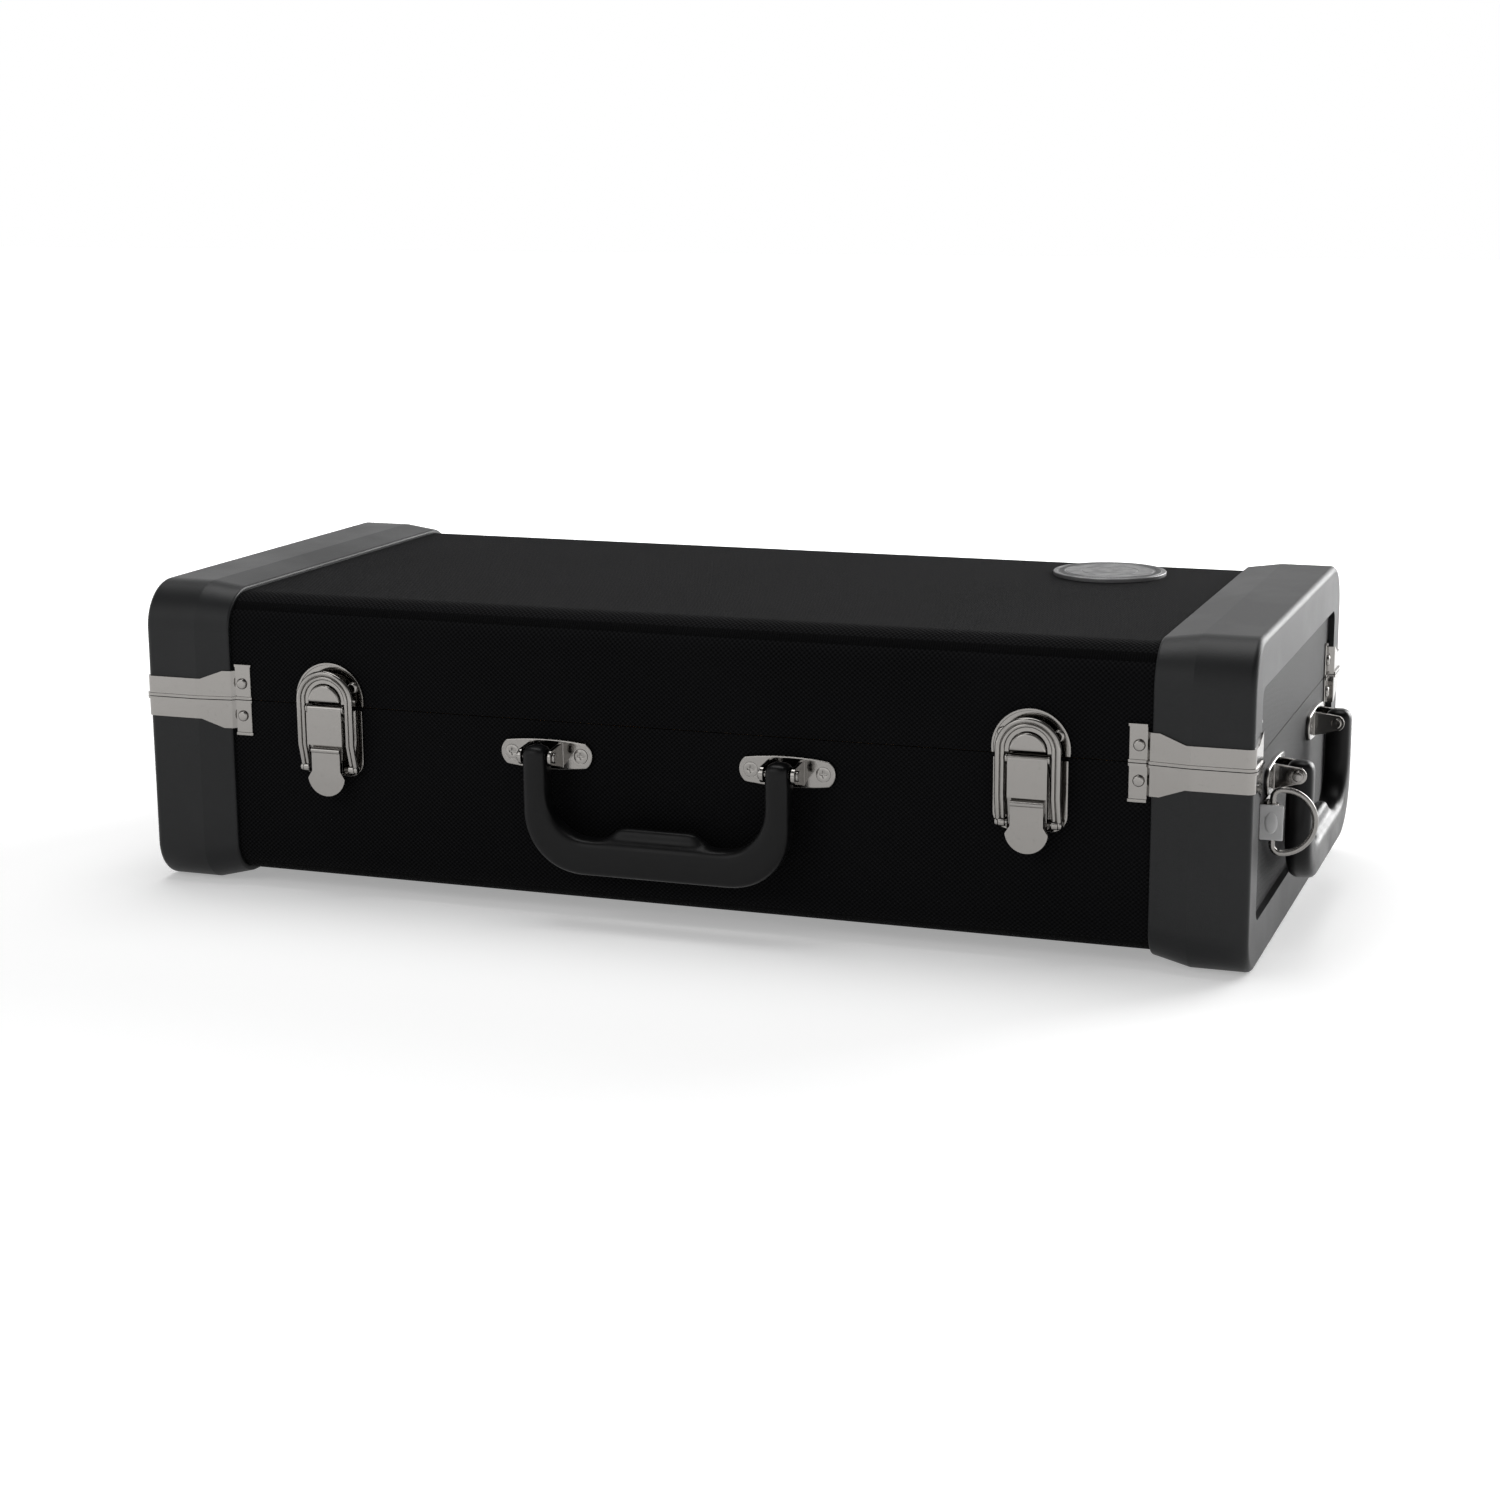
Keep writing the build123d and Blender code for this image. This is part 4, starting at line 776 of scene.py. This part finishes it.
def ring_clip(side, way):
    """A D-ring's clip: its rolled leaf, and the tab folded over the roll, embossed with an oval."""
    node_name = f"d_ring_clip_{side}"
    low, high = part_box(node_name)
    leaf = copied(f"ring_{side}_leaf", node_name)
    rounded(leaf, 0.0003)
    wall = min(abs(low.x), abs(high.x))
    tall = high.z - low.z - TAB_SHORT
    centre = Vector((way * (wall + TAB_GAP + TAB_WIDE / 2), low.y - TAB_GAP, (low.z + high.z) / 2))
    tab = begun("cube", f"ring_{side}_tab", size=1, location=centre)
    resized(centre, TAB_WIDE, TAB_SHEET, tall)
    alone(tab)
    rounded(tab, 0.0004, 3)
    face = centre - Vector((0, TAB_SHEET / 2, 0))
    oval = begun("uv_sphere", f"ring_{side}_oval", segments=32, ring_count=16, radius=1,
                 location=face)
    resized(face, TAB_WIDE * OVAL_WIDE, OVAL_PROUD, tall * OVAL_TALL)
    alone(oval)
    tab.data.materials.append(MATERIALS["tab"])
    oval.data.materials.append(MATERIALS["tab"])
    piece = joined(f"ring_{side}_clip", leaf, tab, oval)
    finished(piece, None, node_name)


class CASE_OT_ring_clips(bpy.types.Operator):
    """The D-rings' clips"""

    bl_idname = "case.ring_clips"
    bl_label = "Ring clips"

    def execute(self, context):
        ring_clip("right", 1)
        ring_clip("left", -1)
        return {"FINISHED"}


HANDLE_VOXEL = 0.0011
HANDLE_SMOOTHING = 30


def moulded_handle(node_name):
    """A handle whose grip, arms and palm rest flow into each other as one moulding."""
    piece = copied(node_name + "_moulded", node_name)
    modified(piece, "REMESH", mode="VOXEL", voxel_size=HANDLE_VOXEL)
    modified(piece, "SMOOTH", factor=0.6, iterations=HANDLE_SMOOTHING)
    alone(piece)
    bpy.ops.object.shade_smooth()
    finished(piece, "handle", node_name, angle=80, flats=False)


class CASE_OT_handles(bpy.types.Operator):
    """The two carrying handles"""

    bl_idname = "case.handles"
    bl_label = "Handles"

    def execute(self, context):
        moulded_handle("front_handle")
        moulded_handle("end_handle")
        return {"FINISHED"}


PADS = (
    # CAD node, fill, voxel in metres
    ("floor_liner", 0.9, 0.0032),
    ("lid_liner", 0.9, 0.0032),
    ("liner_bell_front", 0.95, 0.003),
    ("liner_bell_back", 0.95, 0.003),
    ("liner_bell_end", 0.95, 0.003),
    ("liner_back_rail", 0.95, 0.003),
    ("liner_left_end", 0.95, 0.003),
    ("liner_front_block", 0.95, 0.003),
    ("mouthpiece_block", 0.95, 0.002),
    ("accessory_box", 0.95, 0.0012),
    ("accessory_flap", 0.95, 0.0012),
)


PAD_SMOOTHING = 6
PAD_DRAWN_IN = 0.0003


def plush_pad(node_name, fill, voxel):
    """A plush-covered foam pad: full, with soft corners, just inside its space."""
    piece = copied(node_name + "_plush", node_name)
    modified(piece, "REMESH", mode="VOXEL", voxel_size=voxel)
    modified(piece, "SMOOTH", factor=0.7, iterations=PAD_SMOOTHING)
    modified(piece, "DISPLACE", strength=-PAD_DRAWN_IN, mid_level=0.0)
    finished(piece, "plush", node_name, angle=80, flats=False)


class CASE_OT_lining(bpy.types.Operator):
    """Plush pads, the accessory box with its flap, and the flap's cloth hinge and pull"""

    bl_idname = "case.lining"
    bl_label = "Lining"

    def execute(self, context):
        for pad in PADS:
            plush_pad(*pad)
        low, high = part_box("flap_hinge_cloth")
        size, centre = high - low, (low + high) / 2
        cloth = begun("grid", "flap_cloth", x_subdivisions=90, y_subdivisions=8, size=size.x,
                      location=centre, rotation=(pi / 2, 0, 0))
        resized(centre, 1, 1, size.z / size.x)
        alone(cloth)
        modified(cloth, "SOLIDIFY", thickness=size.y * 0.7, offset=0)
        finished(cloth, "ribbon", "flap_hinge_cloth", angle=80)
        pull = copied("flap_pull", "flap_pull_ribbon")
        rounded(pull, 0.0003)
        finished(pull, "ribbon", "flap_pull_ribbon")
        return {"FINISHED"}


BADGE_TICKS = 96
BADGE_EDGE = 0.0003
BADGE_STEPS = (
    # inset and rise in metres, from the edge inwards
    (BADGE_EDGE, BADGE_EDGE), (0.0014, 0), (0.0002, -0.0002), (0.0005, 0), (0.0002, 0.0002),
    (0.0032, 0), (0.0002, -0.0002), (0.0005, 0), (0.0002, 0.0002), (0.0074, 0), (0.0002, -0.0002),
    (0.0004, 0), (0.0002, 0.0002),
)
# the ring of ticks lies between these two distances in from the edge
TICK_RING = (0.0058, 0.0026)
TICK_FRAME = 0.0003
TICK_DEEP = 0.00018


class CASE_OT_badge(bpy.types.Operator):
    """Round metal badge with a stepped rim, a ring of fine recessed ticks filled with painted
    shade, and two turned rings
    """

    bl_idname = "case.badge"
    bl_label = "Badge"

    def execute(self, context):
        low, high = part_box("badge")
        centre = (low + high) / 2
        edge = (high.x - low.x) / 2
        piece = begun("circle", "badge_disc", vertices=BADGE_TICKS, radius=edge,
                      fill_type="NGON", location=(centre.x, centre.y, low.z))
        bpy.ops.mesh.select_all(action="SELECT")
        pulled(0, 0, high.z - low.z - BADGE_EDGE)
        for inset, rise in BADGE_STEPS:
            bpy.ops.mesh.inset(thickness=inset, depth=rise)
        picked(piece, "faces", lambda at, normal: normal.z > 0.8 and (
            edge - TICK_RING[0] < (at - centre).xy.length < edge - TICK_RING[1]))
        bpy.ops.mesh.inset(thickness=TICK_FRAME, depth=-TICK_DEEP, use_individual=True)
        # the tick recesses get the second slot: painted shade
        for finish in ("badge", "enamel"):
            piece.data.materials.append(MATERIALS[finish])
        piece.active_material_index = 1
        bpy.ops.object.material_slot_assign()
        bpy.ops.mesh.select_all(action="SELECT")
        bpy.ops.mesh.normals_make_consistent(inside=False)
        alone(piece)
        rounded(piece, 0.00008, 1, 40)
        finished(piece, None, "badge", angle=30)
        return {"FINISHED"}


# strength of the floor's glow under the case and far from it, and those two distances in metres;
# the weaker glow near the case is painted shade round it
FLOOR_GLOW = (0.34, 1.0)
FLOOR_GLOW_FROM = (0.45, 1.6)
# strength of the surround as light, as seen, and as seen overhead
AMBIENT = 0.25
BACKDROP = 1.0
CEILING = 0.12
# upward part of the direction where the ceiling begins and where it is full
CEILING_FROM = (0.32, 0.62)


def seen_rays(tree):
    """One for what the camera sees, straight or in a reflection or through glass, else nought."""
    paths = tree.nodes.new("ShaderNodeLightPath").outputs
    value = paths["Is Camera Ray"]
    for name in ("Is Glossy Ray", "Is Transmission Ray"):
        larger = tree.nodes.new("ShaderNodeMath")
        larger.operation = "MAXIMUM"
        tree.links.new(value, larger.inputs[0])
        tree.links.new(paths[name], larger.inputs[1])
        value = larger.outputs[0]
    return value


FLOOR_SIZE = 14


def make_floor():
    """A plain pale floor that looks white behind the case and keeps its shadow; its glow is weaker
    near the case, painted shade round it.
    """
    bpy.ops.object.select_all(action="DESELECT")
    bpy.ops.mesh.primitive_plane_add(size=FLOOR_SIZE)
    floor = bpy.context.object
    floor.name = "floor"
    material = new_material("pale_floor", (0.80, 0.80, 0.80), 0.85, Specular_IOR_Level=0.1)
    nodes = material.node_tree.nodes
    shader = nodes["Principled BSDF"]
    seen = seen_rays(material.node_tree)
    away = node(material, "VectorMath", {0: object_place(material)}, operation="LENGTH")
    # the glow fades towards the case: painted shade on the floor round it, seen also in reflections
    level = mapped(material, away.outputs["Value"], *FLOOR_GLOW_FROM, *FLOOR_GLOW)
    glow = node(material, "Emission", {
        "Color": (1, 1, 1, 1), "Strength": sums(material, "MULTIPLY", seen, level),
    })
    both = node(material, "AddShader", {0: shader.outputs[0], 1: glow.outputs[0]})
    material.node_tree.links.new(both.outputs[0], nodes["Material Output"].inputs["Surface"])
    floor.data.materials.append(material)


LAMPS = (
    # name, place, aimed at, size, watts
    ("top_softbox", (-0.3, 0.5, 2.3), (0, 0, 0.08), 1.8, 34),
    ("end_softbox", (1.45, 2.1, 0.85), (0.28, 0, 0.08), 1.6, 70),
    ("front_softbox", (-1.2, -2.0, 1.6), (0, 0, 0.08), 1.4, 10),
)


def make_lights():
    """Soft studio lamps and an even white surround."""
    for name, place, target, size, watts in LAMPS:
        data = bpy.data.lights.new(name, "AREA")
        data.shape = "SQUARE"
        data.size = size
        data.energy = watts
        lamp = bpy.data.objects.new(name, data)
        bpy.context.scene.collection.objects.link(lamp)
        lamp.location = place
        lamp.visible_camera = False
        aim = Vector(target) - Vector(place)
        lamp.rotation_mode = "QUATERNION"
        lamp.rotation_quaternion = aim.to_track_quat("-Z", "Y")
    world = bpy.data.worlds.new("studio")
    bpy.context.scene.world = world
    world.use_nodes = True
    tree = world.node_tree
    background = tree.nodes["Background"]
    background.inputs["Color"].default_value = (1, 1, 1, 1)
    bright = tree.nodes.new("ShaderNodeMapRange")
    bright.inputs["To Min"].default_value = AMBIENT
    bright.inputs["To Max"].default_value = BACKDROP
    tree.links.new(seen_rays(tree), bright.inputs["Value"])
    direction = tree.nodes.new("ShaderNodeTexCoord")
    split = tree.nodes.new("ShaderNodeSeparateXYZ")
    tree.links.new(direction.outputs["Generated"], split.inputs[0])
    overhead = tree.nodes.new("ShaderNodeMapRange")
    overhead.inputs["From Min"].default_value = CEILING_FROM[0]
    overhead.inputs["From Max"].default_value = CEILING_FROM[1]
    overhead.inputs["To Min"].default_value = BACKDROP
    overhead.inputs["To Max"].default_value = CEILING
    tree.links.new(split.outputs["Z"], overhead.inputs["Value"])
    tree.links.new(overhead.outputs["Result"], bright.inputs["To Max"])
    tree.links.new(bright.outputs["Result"], background.inputs["Strength"])


CAMERA_PLACE = (0.47453, -1.31370, 0.37329)


def make_camera(settings):
    """A camera where the photograph was taken from."""
    data = bpy.data.cameras.new("camera")
    data.lens = settings.lens
    data.sensor_width = 36
    camera = bpy.data.objects.new("camera", data)
    bpy.context.scene.collection.objects.link(camera)
    turn, rise = radians(settings.azimuth), radians(settings.elevation)
    back = Vector((sin(turn) * cos(rise), -cos(turn) * cos(rise), sin(rise)))
    camera.rotation_mode = "QUATERNION"
    level = (-back).to_track_quat("-Z", "Y")
    camera.rotation_quaternion = Quaternion(back, radians(settings.roll)) @ level
    camera.location = CAMERA_PLACE
    bpy.context.scene.camera = camera


class CASE_OT_stage(bpy.types.Operator):
    """Floor, backdrop, light and camera"""

    bl_idname = "case.stage"
    bl_label = "Stage"

    def execute(self, context):
        make_floor()
        make_lights()
        make_camera(context.scene.case_stage)
        return {"FINISHED"}


# ---------------------------------------------------------------- the add-on

class CASE_PT_panel(bpy.types.Panel):
    """Lists the case's sizes, colours and steps"""

    bl_idname = "CASE_PT_panel"
    bl_label = "Trumpet case"
    bl_space_type = "VIEW_3D"
    bl_region_type = "UI"
    bl_category = "Case"

    def draw(self, context):
        layout = self.layout
        for group in (context.scene.case_finish, context.scene.case_stage):
            for name in group.__annotations__:
                layout.prop(group, name)
        for operator in OPERATORS:
            layout.operator(operator.bl_idname)


OPERATORS = (
    CASE_OT_finishes,
    CASE_OT_fittings,
    CASE_OT_latches,
    CASE_OT_clips,
    CASE_OT_ring_clips,
    CASE_OT_handles,
    CASE_OT_lining,
    CASE_OT_badge,
    CASE_OT_stage,
)
GROUPS = (CaseFinish, CaseStage)


def register():
    """Registers the classes and the settings they share."""
    for cls in (*GROUPS, *OPERATORS, CASE_PT_panel):
        bpy.utils.register_class(cls)
    bpy.types.Scene.case_finish = PointerProperty(type=CaseFinish)
    bpy.types.Scene.case_stage = PointerProperty(type=CaseStage)


def unregister():
    """Takes them away again."""
    del bpy.types.Scene.case_stage
    del bpy.types.Scene.case_finish
    for cls in reversed((*GROUPS, *OPERATORS, CASE_PT_panel)):
        bpy.utils.unregister_class(cls)


def main():
    """Runs every step in order."""
    register()
    bpy.context.scene.view_settings.view_transform = "Standard"
    for operator in OPERATORS:
        group, name = operator.bl_idname.split(".")
        getattr(getattr(bpy.ops, group), name)()


if __name__ == "__main__":
    main()
